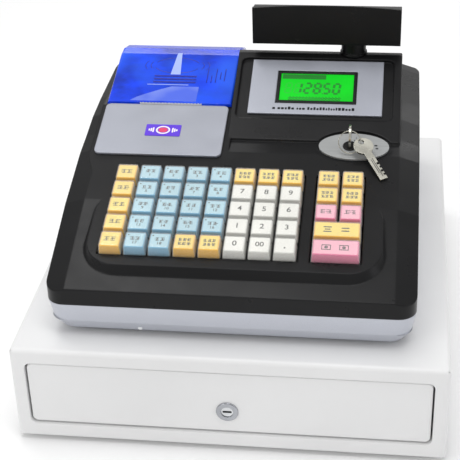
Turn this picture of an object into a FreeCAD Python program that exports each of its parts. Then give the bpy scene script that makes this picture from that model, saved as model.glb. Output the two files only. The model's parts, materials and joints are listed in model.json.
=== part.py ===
import FreeCAD, Part
import math
import os
import re
import Sketcher
from FreeCAD import Placement, Rotation, Vector

# Electronic cash register standing on its cash drawer.
# Frame: millimetres, origin on the table under the middle of the drawer case,
# +X to the operator's right, +Y to the back, +Z up. The operator stands at -Y.

doc = FreeCAD.newDocument("cash_register")

DIMENSIONS = [
    # cash drawer
    ("case_width", 350), ("case_depth", 405), ("case_height", 85), ("foot_height", 5),
    ("case_corner", 4), ("sheet", 1.5), ("open_half", 163.4), ("open_low", 17), ("open_high", 77.5),
    ("frame_fold", 12), ("front_gap", 1.4), ("front_thick", 16), ("box_half", 148), ("box_low", 19),
    ("box_high", 66), ("box_rear", 150), ("drawer_lock_height", 38.7),
    ("rail_low", 40), ("rail_high", 62), ("tray_wall", 2), ("tray_high", 62),
    ("fixing_x", 110), ("fixing_y", 140), ("fixing_radius", 3), ("coin_depth", 80), ("note_depth", 176),
    ("clip_rod_radius", 1.5), ("clip_length", 60),
    # register body
    ("body_half", 147), ("body_front", -181.5), ("body_rear", 152.5), ("body_corner", 15),
    ("base_low", 95), ("base_ridge", 105), ("seam", 121.5), ("lip_high", 136),
    ("ridge_inset", 2.5), ("base_taper", 30), ("panel_slope", 14.5),
    ("panel_y", -137.8), ("panel_z", 156.7), ("wall", 3), ("bevel_wide", 17), ("bevel_drop", 5.5),
    ("plateau_half", 118.6), ("plateau_front", -26.5), ("plateau_corner", 27), ("skirt_angle", 33),
    ("bridge_left", -137), ("hump_left", -19), ("hump_right", 130), ("bridge_high", 199.4),
    # keys
    ("pitch", 20), ("key_first_x", -97.7), ("key_first_v", -5.5), ("key_base", 19), ("key_top", 15.5),
    ("key_rise", 8), ("key_sink", 2), ("stem_size", 6), ("stem_length", 12),
    # operator display
    ("face_y", -12.5), ("face_z", 189), ("face_slope", 22), ("face_length", 105.5),
    # receipt printer
    ("cover_left", -133), ("cover_right", -22), ("lid_right", -20), ("lid_skin", 2.5),
    ("lid_hinge_y", 139), ("lid_hinge_z", 202), ("lid_tail", 10.5), ("pin_radius", 2),
    ("roll_radius", 25), ("roll_width", 57), ("roll_y", 100), ("roll_z", 184), ("spindle_radius", 5.95),
    ("platen_radius", 6), ("platen_y", 48), ("platen_z", 190),
    # mode lock and keys
    ("lock_x", 87.7), ("lock_v", 122.2), ("plate_x", 91), ("plate_long", 30), ("plate_short", 16.7),
    ("barrel_radius", 6), ("ring_radius", 9.5), ("ring_wire", 0.8), ("key_thick", 1.8), ("bow_radius", 8.5),
    # customer display
    ("pole_x", 85.6), ("pole_y", 91.5), ("pole_radius", 11.2), ("head_left", -5.5), ("head_right", 127.8),
    ("head_low", 240.7), ("head_high", 274.5), ("head_deep", 28), ("fit", 0.05),
]

sheet = doc.addObject("Spreadsheet::Sheet", "Dims")
for line, (alias, size) in enumerate(DIMENSIONS, start=1):
    sheet.set("A%d" % line, alias)
    sheet.set("B%d" % line, str(size))
    sheet.setAlias("B%d" % line, alias)
doc.recompute()

ALIASES = dict(DIMENSIONS)


def expression(text):
    """Turn plain alias words into references to the sheet."""
    def refer(match):
        word = match.group(0)
        return "Dims." + word if word in ALIASES else word
    return re.sub(r"[a-z_]+", refer, str(text))


def number(text):
    """The present value of an expression, for starting geometry before its binding takes hold."""
    value = sheet.evalExpression(expression(text))
    return float(getattr(value, "Value", value))


def bind(thing, prop, text):
    thing.setExpression(prop, expression(text))


def place(thing, x="0", y="0", z="0", axis=(0, 0, 1), angle="0"):
    """Bind a placement: a shift, and a turn about an axis."""
    thing.Placement = Placement(Vector(0, 0, 0), Rotation(Vector(*axis), number(angle)))
    bind(thing, "Placement.Base.x", x)
    bind(thing, "Placement.Base.y", y)
    bind(thing, "Placement.Base.z", z)
    if str(angle) != "0":
        bind(thing, "Placement.Rotation.Angle", angle)
    return thing


# ---------------------------------------------------------------- primitives

def block(name, x, y, z, width, depth, height):
    """A box with its low corner at (x, y, z)."""
    thing = doc.addObject("Part::Box", name)
    bind(thing, "Length", width)
    bind(thing, "Width", depth)
    bind(thing, "Height", height)
    return place(thing, x, y, z)


AXIS_TURN = {"x": ((0, 1, 0), "90"), "y": ((1, 0, 0), "-90"), "z": ((0, 0, 1), "0")}


def rod(name, x, y, z, radius, length, along="z"):
    """A cylinder that starts at (x, y, z) and runs towards +X, +Y or +Z."""
    thing = doc.addObject("Part::Cylinder", name)
    bind(thing, "Radius", radius)
    bind(thing, "Height", length)
    axis, angle = AXIS_TURN[along]
    return place(thing, x, y, z, axis, angle)


def wedge(name, low_x, high_x, low_y, high_y, top_x, top_xx, top_y, top_yy, low_z, high_z):
    """A block whose upper rectangle differs from its lower one."""
    thing = doc.addObject("Part::Wedge", name)
    sizes = {"Xmin": low_x, "Xmax": high_x, "Zmin": low_y, "Zmax": high_y, "X2min": top_x, "X2max": top_xx,
             "Z2min": top_y, "Z2max": top_yy, "Ymin": low_z, "Ymax": high_z}
    for prop, text in sizes.items():
        bind(thing, prop, text)
    # the wedge grows along its own Y, so it is turned to stand up, with its own Z towards -Y
    thing.Placement = Placement(Vector(0, 0, 0), Rotation(Vector(1, 0, 0), 90))
    return thing


def fuse(name, parts):
    thing = doc.addObject("Part::MultiFuse", name)
    thing.Shapes = parts
    return thing


def cut(name, base, tools):
    """Base less every tool."""
    tool = tools[0]
    if len(tools) > 1:
        tool = doc.addObject("Part::Compound", name + "_tools")
        tool.Links = tools
    thing = doc.addObject("Part::Cut", name)
    thing.Base = base
    thing.Tool = tool
    return thing


def group(name, parts):
    """Separate identical pieces that share one name."""
    thing = doc.addObject("Part::Compound", name)
    thing.Links = parts
    return thing


def rounded(name, base, radius, test):
    """Round the edges of a primitive that pass a test."""
    doc.recompute()
    thing = doc.addObject("Part::Fillet", name)
    thing.Base = base
    size = number(radius)
    thing.Edges = [(i + 1, size, size) for i, edge in enumerate(base.Shape.Edges) if test(edge)]
    return thing


def on_panel(thing, x="0", v="0", n="0"):
    """Lay a piece on the sloping keyboard panel: x across, v up the slope, n off its face."""
    slope = "panel_slope * 1 deg"
    return place(thing, x,
                 "panel_y + (%s) * cos(%s) - (%s) * sin(%s)" % (v, slope, n, slope),
                 "panel_z + (%s) * sin(%s) + (%s) * cos(%s)" % (v, slope, n, slope),
                 (1, 0, 0), "panel_slope")


def on_face(thing, x="0", v="0", n="0"):
    """Lay a piece on the operator display's sloping face."""
    slope = "face_slope * 1 deg"
    return place(thing, x,
                 "face_y + (%s) * cos(%s) - (%s) * sin(%s)" % (v, slope, n, slope),
                 "face_z + (%s) * sin(%s) + (%s) * cos(%s)" % (v, slope, n, slope),
                 (1, 0, 0), "face_slope")


def flat_block(name, x, v, n, width, depth, height, lay):
    """A box laid on a sloping face by the function lay."""
    thing = block(name, "0", "0", "0", width, depth, height)
    return lay(thing, x, v, n)


# ------------------------------------------------------------ sketched bodies

def new_body(name):
    body = doc.addObject("PartDesign::Body", name)
    body.Label = name
    return body


def sketch_on(body, role, y="0", z="0", tilt="0"):
    """An empty sketch on one of the body's own origin planes, shifted and tilted about X."""
    plane = [f for f in body.Origin.OriginFeatures if f.Role == role][0]
    drawing = body.newObject("Sketcher::SketchObject", body.Label + "_sketch")
    drawing.AttachmentSupport = [(plane, "")]
    drawing.MapMode = "FlatFace"
    drawing.AttachmentOffset = Placement(Vector(0, 0, 0), Rotation(Vector(1, 0, 0), number(tilt)))
    bind(drawing, "AttachmentOffset.Base.y", y)
    bind(drawing, "AttachmentOffset.Base.z", z)
    if tilt != "0":
        bind(drawing, "AttachmentOffset.Rotation.Angle", tilt)
    return drawing


def outline(drawing, points):
    """A closed run of straight lines; each corner is tied to the sketch's origin by the sheet."""
    places = [Vector(number(a), number(b), 0) for a, b in points]
    first = drawing.GeometryCount
    total = len(points)
    for i in range(total):
        drawing.addGeometry(Part.LineSegment(places[i], places[(i + 1) % total]), False)
    for i in range(total):
        drawing.addConstraint(Sketcher.Constraint("Coincident", first + i, 2, first + (i + 1) % total, 1))
    for i, (a, b) in enumerate(points):
        for kind, text, value in (("DistanceX", a, places[i].x), ("DistanceY", b, places[i].y)):
            index = drawing.addConstraint(Sketcher.Constraint(kind, -1, 1, first + i, 1, value))
            drawing.setExpression("Constraints[%d]" % index, expression(text))
    return drawing


def rectangle(drawing, low_x, high_x, low_y, high_y):
    return outline(drawing, [(low_x, low_y), (high_x, low_y), (high_x, high_y), (low_x, high_y)])


def pad(body, drawing, length, both_ways=False, reversed_way=False, taper="0"):
    feature = body.newObject("PartDesign::Pad", body.Label + "_pad")
    feature.Profile = drawing
    feature.SideType = "Symmetric" if both_ways else "One side"
    feature.Reversed = reversed_way
    bind(feature, "Length", length)
    if taper != "0":
        bind(feature, "TaperAngle", taper)
    doc.recompute()
    return feature


def pocket(body, drawing, length, both_ways=False, reversed_way=False, taper="0"):
    """Cut a sketch into the body, and stop if nothing was cut."""
    before = body.Shape.Volume
    feature = body.newObject("PartDesign::Pocket", body.Label + "_pocket")
    feature.Profile = drawing
    feature.SideType = "Symmetric" if both_ways else "One side"
    feature.Reversed = reversed_way
    bind(feature, "Length", length)
    if taper != "0":
        bind(feature, "TaperAngle", taper)
    doc.recompute()
    if not body.Shape.Volume < before - 1:
        raise RuntimeError(feature.Label + " cuts nothing")
    return feature


def fillet(body, radius, test):
    """Round the edges of the body's last feature that pass a test."""
    doc.recompute()
    base = body.Tip
    names = ["Edge%d" % (i + 1) for i, edge in enumerate(base.Shape.Edges) if test(edge)]
    feature = body.newObject("PartDesign::Fillet", body.Label + "_fillet")
    feature.Base = (base, names)
    bind(feature, "Radius", radius)
    doc.recompute()
    return feature


def upright(edge):
    """True of an edge that runs mostly up and down."""
    box = edge.BoundBox
    return box.ZLength > 2 * max(box.XLength, box.YLength)


def near(value, target, slack=0.3):
    return abs(value - target) < slack


def level_at(edge, height):
    box = edge.BoundBox
    return near(box.ZMin, height, 0.05) and near(box.ZMax, height, 0.05)


NODES = []


def keep(thing, name):
    """Name a finished sub-part; its label is also its file's name."""
    thing.Label = name
    NODES.append(thing)
    return thing


# ================================================================ cash drawer

def drawer_case():
    """Folded steel case, open below, with a framed opening in front."""
    body = new_body("drawer_case")
    pad(body, rectangle(sketch_on(body, "XY_Plane", z="foot_height"), "-case_width / 2", "case_width / 2",
                        "-case_depth / 2", "case_depth / 2"), "case_height")
    top = number("foot_height + case_height")
    fillet(body, "case_corner", lambda e: upright(e) or level_at(e, top))
    pocket(body, rectangle(sketch_on(body, "XY_Plane", z="foot_height"), "-case_width / 2 + sheet",
                           "case_width / 2 - sheet", "-case_depth / 2 + sheet", "case_depth / 2 - sheet"),
           "case_height - sheet", reversed_way=True)
    # the fold that stiffens the edge of the opening runs back from the front wall
    fold = rectangle(sketch_on(body, "XZ_Plane", z="case_depth / 2 - sheet"), "-open_half - sheet",
                     "open_half + sheet", "open_low - sheet", "open_high + sheet")
    pad(body, fold, "frame_fold", reversed_way=True)
    pocket(body, rounded_rectangle(sketch_on(body, "XZ_Plane", z="case_depth / 2"), "-open_half",
                                   "open_half",
                                   "open_low", "open_high", "5.5"), "frame_fold + 3 * sheet")
    return keep(body, "drawer_case")


def case_base_plate():
    """Steel floor of the case, with four holes for fixing the drawer to a counter."""
    plate = block("case_base_sheet", "-case_width / 2 + sheet", "-case_depth / 2 + sheet", "foot_height",
                  "case_width - 2 * sheet", "case_depth - 2 * sheet", "sheet")
    holes = [rod("fixing_hole", x, y, "0", "fixing_radius", "10")
             for x in ("-fixing_x", "fixing_x") for y in ("-fixing_y", "fixing_y")]
    return keep(cut("case_base", plate, holes), "case_base_plate")


def rubber_feet():
    """Eight identical rubber feet: four under the drawer case, four under the register."""
    feet = []
    for level, name, half_x, low_y, high_y in (("0", "case", "145", "-175", "175"),
                                               ("base_low - foot_height", "body", "115", "-150", "120")):
        for side in (-1, 1):
            for row, y in enumerate((low_y, high_y)):
                foot = doc.addObject("Part::Cone", "%s_foot_%d_%d" % (name, side + 1, row))
                bind(foot, "Radius1", "9")
                bind(foot, "Radius2", "10.5")
                bind(foot, "Height", "foot_height")
                feet.append(place(foot, "%d * %s" % (side, half_x), y, level))
    return keep(group("feet", feet), "rubber_feet")


def channel(name, side, near_x, far_x, low_z, high_z, low_y, high_y, opens_inward):
    """A C-shaped slide member between two distances from the middle, open on one long side."""
    low, high = (near_x, far_x) if side > 0 else ("-(%s)" % far_x, "-(%s)" % near_x)
    width = "%s - (%s)" % (high, low)
    outer = block(name + "_outer", low, low_y, low_z, width, "%s - (%s)" % (high_y, low_y),
                  "%s - (%s)" % (high_z, low_z))
    start = "%s - sheet" % low if (side > 0) == opens_inward else "%s + sheet" % low
    inner = block(name + "_inner", start, "%s - 1" % low_y, "%s + sheet" % low_z, width,
                  "%s - (%s) + 2" % (high_y, low_y), "%s - (%s) - 2 * sheet" % (high_z, low_z))
    return cut(name, outer, [inner])


def case_rails():
    """Fixed slide members, each with a spacer that holds it off the case wall."""
    rails = []
    for side in (-1, 1):
        rail = channel("rail_%d" % (side + 1), side, "box_half + 5", "box_half + 13.5", "rail_low",
                       "rail_high",
                       "-case_depth / 2 + sheet + front_thick + 1.5", "box_rear", True)
        low = "box_half + 13.5" if side > 0 else "-case_width / 2 + sheet"
        spacer = block("rail_spacer_%d" % (side + 1), low, "-120", "rail_low + 3",
                       "case_width / 2 - sheet - box_half - 13.5", "240", "rail_high - rail_low - 6")
        rails.append(fuse("fixed_rail_%d" % (side + 1), [rail, spacer]))
    return keep(group("rails", rails), "case_rails")


def drawer_runners():
    """Moving slide members, riveted to the sides of the drawer box."""
    runners = [channel("runner_%d" % (side + 1), side, "box_half", "box_half + 9", "rail_low + 3",
                       "rail_high - 3",
                       "-180", "box_rear", False) for side in (-1, 1)]
    return keep(group("runners", runners), "drawer_runners")


def drawer_box():
    """Sheet steel box with a striker tab under its back edge for the release latch."""
    front = "-case_depth / 2 + sheet + front_thick"
    skin = "1.2"
    outer = block("box_outer", "-box_half", front, "box_low", "2 * box_half", "box_rear - (%s)" % front,
                  "box_high - box_low")
    inner = block("box_inner", "-box_half + %s" % skin, "%s + %s" % (front, skin), "box_low + %s" % skin,
                  "2 * box_half - 2 * %s" % skin, "box_rear - (%s) - 2 * %s" % (front, skin), "box_high")
    shell = cut("box_shell", outer, [inner])
    striker = block("box_striker", "22", "box_rear - 3", "box_low - 4", "24", "3", "4")
    return keep(fuse("box", [shell, striker]), "drawer_box")


def drawer_front():
    """Folded steel front pan with rounded corners, a lock hole and a slot below for the lock's cam."""
    body = new_body("front_pan_body")
    face = sketch_on(body, "XZ_Plane", z="case_depth / 2 - sheet")
    pad(body, rectangle(face, "-open_half + front_gap", "open_half - front_gap", "open_low + front_gap",
                        "open_high - front_gap"), "front_thick", reversed_way=True)
    fillet(body, "4.5", lambda e: e.BoundBox.YLength > 5)
    front = number("-case_depth / 2 + sheet")
    fillet(body, "1.2", lambda e: near(e.BoundBox.YMin, front, 0.05) and near(e.BoundBox.YMax, front, 0.05))
    back = sketch_on(body, "XZ_Plane", z="case_depth / 2 - sheet - front_thick")
    pocket(body, rectangle(back, "-open_half + front_gap + 6", "open_half - front_gap - 6",
                           "open_low + front_gap + sheet", "open_high - front_gap - sheet"),
           "front_thick - sheet", reversed_way=True)
    hole = rod("front_lock_hole", "0", "-case_depth / 2 - 1", "drawer_lock_height", "7", "6", "y")
    slot = block("front_cam_slot", "-6", "-189.5", "open_low", "24", "4", "6")
    return keep(cut("front_pan", body, [hole, slot]), "drawer_front")


def drawer_lock():
    """Chromed lock housing in the drawer front, and its plug with the key slot and the cam."""
    face = "-case_depth / 2"
    front = number(face)
    flange = rod("lock_flange", "0", face, "drawer_lock_height", "9", "sheet", "y")
    sleeve = rod("lock_sleeve", "0", face, "drawer_lock_height", "6.9", "14", "y")
    flange_round = rounded("lock_flange_round", fuse("lock_outer", [flange, sleeve]), "1",
                           lambda e: near(e.BoundBox.YMin, front, 0.01) and near(e.BoundBox.YMax, front,
                                                                                 0.01))
    bore = rod("lock_bore", "0", face + " - 1", "drawer_lock_height", "5", "17", "y")
    keep(cut("lock_housing", flange_round, [bore]), "drawer_lock_body")
    plug = rod("plug_barrel", "0", face + " + 0.8", "drawer_lock_height", "5 - fit", "15.2", "y")
    cam = block("plug_cam", "-3", "-188.2", "drawer_lock_height - 4", "27", "1.8", "8")
    keyway = block("plug_keyway", "-3.6", face, "drawer_lock_height - 0.9", "7.2", "8", "1.8")
    keep(cut("plug", fuse("plug_solid", [plug, cam]), [keyway]), "drawer_lock_plug")


LANES = 4


def tray_lane(i):
    """Low edge and width of lane i of the money tray, as expressions."""
    width = "(2 * box_half - 4 - (%d + 1) * tray_wall) / %d" % (LANES, LANES)
    return "-box_half + 2 + tray_wall + %d * (%s + tray_wall)" % (i, width), width


COIN_FRONT = "-case_depth / 2 + sheet + front_thick + 1.2 + 1 + tray_wall"
NOTE_FRONT = "%s + coin_depth + tray_wall" % COIN_FRONT
REAR_FRONT = "%s + note_depth + tray_wall" % NOTE_FRONT
CLIP_Y = "%s - 9" % REAR_FRONT
CLIP_Z = "tray_high - 5"


def money_tray():
    """Moulded insert: four coin cups in front, four note lanes behind, and one store across the back."""
    floor = "box_low + 1.2"
    back = "box_rear - 1.2 - 1"
    outer = block("tray_block", "-box_half + 2", "%s - tray_wall" % COIN_FRONT, floor, "2 * box_half - 4",
                  "%s - (%s - tray_wall)" % (back, COIN_FRONT), "tray_high - (%s)" % floor)
    hollows = []
    for i in range(LANES):
        low, width = tray_lane(i)
        hollows.append(block("coin_cup_%d" % i, low, COIN_FRONT, floor + " + tray_wall", width,
                             "coin_depth", "90"))
        hollows.append(block("note_lane_%d" % i, low, NOTE_FRONT, floor + " + tray_wall", width,
                             "note_depth", "90"))
    hollows.append(block("rear_store", "-box_half + 2 + tray_wall", REAR_FRONT, floor + " + tray_wall",
                         "2 * (box_half - 2 - tray_wall)", "%s - tray_wall - (%s)" % (back, REAR_FRONT),
                         "90"))
    hollows.append(rod("rod_hole", "-box_half", CLIP_Y, CLIP_Z, "clip_rod_radius + fit", "2 * box_half",
                       "x"))
    return keep(cut("tray", outer, hollows), "money_tray")


def note_clips():
    """Steel rod through the lane walls, and one clip per lane that presses the notes down."""
    keep(rod("clip_bar", "-box_half + 2.2", CLIP_Y, CLIP_Z, "clip_rod_radius", "2 * box_half - 4.4", "x"),
         "clip_rod")
    for i in range(LANES):
        low, width = tray_lane(i)
        middle = "%s + (%s) / 2" % (low, width)
        name = "clip_%d" % (i + 1)
        hub = rod(name + "_hub", "-17", "0", "0", "4", "34", "x")
        arm = block(name + "_arm", "-17", "-clip_length", "-1.2", "34", "clip_length", "2.4")
        toe = rod(name + "_toe", "-17", "-clip_length", "0", "2.6", "34", "x")
        hole = rod(name + "_bore", "-20", "0", "0", "clip_rod_radius + fit", "40", "x")
        clip = cut(name, fuse(name + "_solid", [hub, arm, toe]), [hole])
        place(clip, middle, CLIP_Y, CLIP_Z, (1, 0, 0), "28")
        keep(clip, "bill_clip_%d" % (i + 1))


def ejector():
    """Spring that pushes the drawer out, and the magnet whose lever holds the drawer shut."""
    coil = rod("spring_outer", "-80", "box_rear + 0.6", "45", "8",
               "case_depth / 2 - sheet - box_rear - 0.6", "y")
    core = rod("spring_core", "-80", "box_rear - 5", "45", "6", "80", "y")
    keep(cut("spring_tube", coil, [core]), "eject_spring")
    coil_box = block("magnet_coil", "22", "158", "20", "24", "34", "24")
    cheeks = [block("magnet_cheek_%d" % i, x, "170", "foot_height + sheet", "3", "22", "38")
              for i, x in enumerate(("18.5", "46.5"))]
    bridge = block("magnet_bridge", "18.5", "192", "foot_height + sheet", "31", "3", "38")
    yoke = block("magnet_yoke", "18.5", "176", "35", "31", "10", "5")
    pin = rod("latch_pin", "19", "178", "12", "2", "30", "x")
    keep(fuse("magnet", [coil_box] + cheeks + [bridge, yoke, pin]), "release_solenoid")
    hub = rod("latch_hub", "22.5", "178", "12", "4", "23", "x")
    arm = block("latch_arm", "28", "141", "9.5", "12", "48", "2.5")
    tooth = block("latch_tooth", "28", "141", "9.5", "12", "3.5", "4.8")
    bore = rod("latch_bore", "10", "178", "12", "2 + fit", "50", "x")
    keep(cut("latch", fuse("latch_solid", [hub, arm, tooth]), [bore]), "latch_lever")


# ============================================================== register body

def base_housing():
    """Silver lower shell: a slightly flared band over an undercut, with posts for the main board."""
    ring = ("-body_half + ridge_inset", "body_half - ridge_inset", "body_front + ridge_inset",
            "body_rear - ridge_inset")
    band = new_body("base_band")
    pad(band, rectangle(sketch_on(band, "XY_Plane", z="base_ridge"), *ring), "seam - base_ridge",
        taper="8.6")
    fillet(band, "body_corner", upright)
    undercut = new_body("base_undercut")
    pad(undercut, rectangle(sketch_on(undercut, "XY_Plane", z="base_ridge"), *ring),
        "base_ridge - base_low",
        reversed_way=True, taper="-base_taper")
    fillet(undercut, "body_corner", lambda e: e.BoundBox.ZLength > 5)
    hollow = block("base_hollow", "-body_half + 13", "body_front + 13", "base_low + wall",
                   "2 * body_half - 26",
                   "body_rear - body_front - 26", "50")
    posts = [rod("board_post_%d%d" % (i, j), x, y, "base_low + wall", "4", "6")
             for i, x in enumerate(("-80", "80")) for j, y in enumerate(("-100", "20"))]
    shell = cut("base_shell", fuse("base_solid", [band, undercut]), [hollow])
    return keep(fuse("base_with_posts", [shell] + posts), "base_housing")


PANEL_RISE = "tan(panel_slope * 1 deg)"


def panel_height(y):
    """Height of the keyboard panel's plane at a given y."""
    return "panel_z + (%s - panel_y) * %s" % (y, PANEL_RISE)


def deck_profile(drop, front="body_front", rear="body_rear", floor="seam"):
    """Side outline of the main deck: lip, front slope, keyboard slope, levelled back and rounded tail."""
    curve = [(rear, "186"), ("147", "194.5"), ("130", "196.5"), ("60", "195.5"), ("25", "193.4"),
             ("-5", "188"),
             ("-30", panel_height("-30")), ("-92.3", panel_height("-92.3")), (front, "lip_high")]
    return [(front, floor), (rear, floor)] + [(y, "%s - (%s)" % (z, drop)) for y, z in curve]


def rounded_rectangle(drawing, low_x, high_x, low_y, high_y, radius):
    """A rectangle whose corners are arcs."""
    left, right = "%s + (%s)" % (low_x, radius), "%s - (%s)" % (high_x, radius)
    bottom, top = "%s + (%s)" % (low_y, radius), "%s - (%s)" % (high_y, radius)
    sides = [((left, low_y), (right, low_y)), ((high_x, bottom), (high_x, top)),
             ((right, high_y), (left, high_y)), ((low_x, top), (low_x, bottom))]
    centres = [(right, bottom), (right, top), (left, top), (left, bottom)]
    size = number(radius)
    for start, end in sides:
        drawing.addGeometry(Part.LineSegment(Vector(number(start[0]), number(start[1]), 0),
                                             Vector(number(end[0]), number(end[1]), 0)), False)
    for i, (a, b) in enumerate(centres):
        circle = Part.Circle(Vector(number(a), number(b), 0), Vector(0, 0, 1), size)
        from_angle = (i - 1) * math.pi / 2
        drawing.addGeometry(Part.ArcOfCircle(circle, from_angle, from_angle + math.pi / 2), False)
    for i in range(4):
        drawing.addConstraint(Sketcher.Constraint("Coincident", i, 2, 4 + i, 1))
        drawing.addConstraint(Sketcher.Constraint("Coincident", 4 + i, 2, (i + 1) % 4, 1))
    for i, ends in enumerate(sides):
        for point, (a, b) in enumerate(ends, start=1):
            for kind, text in (("DistanceX", a), ("DistanceY", b)):
                index = drawing.addConstraint(Sketcher.Constraint(kind, -1, 1, i, point, number(text)))
                drawing.setExpression("Constraints[%d]" % index, expression(text))
    for i in range(4):
        index = drawing.addConstraint(Sketcher.Constraint("Radius", 4 + i, size))
        drawing.setExpression("Constraints[%d]" % index, expression(radius))
    return drawing


def on_panel_sketch(body, lift="0"):
    """A sketch on the keyboard panel's plane, lifted off it by a little; its Y runs up the slope."""
    return sketch_on(body, "XY_Plane", y="panel_y - (%s) * sin(panel_slope * 1 deg)" % lift,
                     z="panel_z + (%s) * cos(panel_slope * 1 deg)" % lift, tilt="panel_slope")


def on_face_sketch(body, lift="0"):
    """A sketch on the operator display's face; its Y runs up the slope."""
    return sketch_on(body, "XY_Plane", y="face_y - (%s) * sin(face_slope * 1 deg)" % lift,
                     z="face_z + (%s) * cos(face_slope * 1 deg)" % lift, tilt="face_slope")


def wing(body, side):
    """The bevel at one side of the deck, lofted from the deck's outline to its own lower one."""
    drawings = []
    for reach, drop in (("body_half - bevel_wide", "0"), ("body_half", "bevel_drop")):
        drawing = sketch_on(body, "YZ_Plane", z="%d * (%s)" % (side, reach))
        drawings.append(outline(drawing, deck_profile(drop)))
    loft = body.newObject("PartDesign::AdditiveLoft", "wing_loft")
    loft.Profile = drawings[0]
    loft.Sections = [drawings[1]]
    loft.Ruled = True
    doc.recompute()


def ellipse_plug(name, long_half, short_half, thick, low):
    """An elliptic disc on the keyboard panel round the mode lock plate's centre."""
    curve = doc.addObject("Part::Ellipse", name + "_edge")
    bind(curve, "MajorRadius", long_half)
    bind(curve, "MinorRadius", short_half)
    disc = doc.addObject("Part::Extrusion", name)
    disc.Base = curve
    disc.DirMode = "Custom"
    disc.Dir = Vector(0, 0, 1)
    disc.Solid = True
    bind(disc, "LengthFwd", thick)
    return on_panel(disc, "plate_x", "lock_v", low)


BAY_LEFT = "cover_left - 0.7"
FACE_TOP_Y = "face_y + face_length * cos(face_slope * 1 deg)"
FACE_TOP_Z = "face_z + face_length * sin(face_slope * 1 deg)"
POLE_SEAT = FACE_TOP_Z + " - 1"
KEY_FIELDS = (("key_first_x - pitch / 2 - 0.5", "key_first_x + 7.5 * pitch + 0.5"),
              ("key_first_x + 8 * pitch - 0.5", "key_first_x + 10 * pitch + 0.5"))
FIELD_LOW = "key_first_v - pitch / 2 - 0.5"
FIELD_HIGH = "key_first_v + 4.5 * pitch + 0.5"


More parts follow.
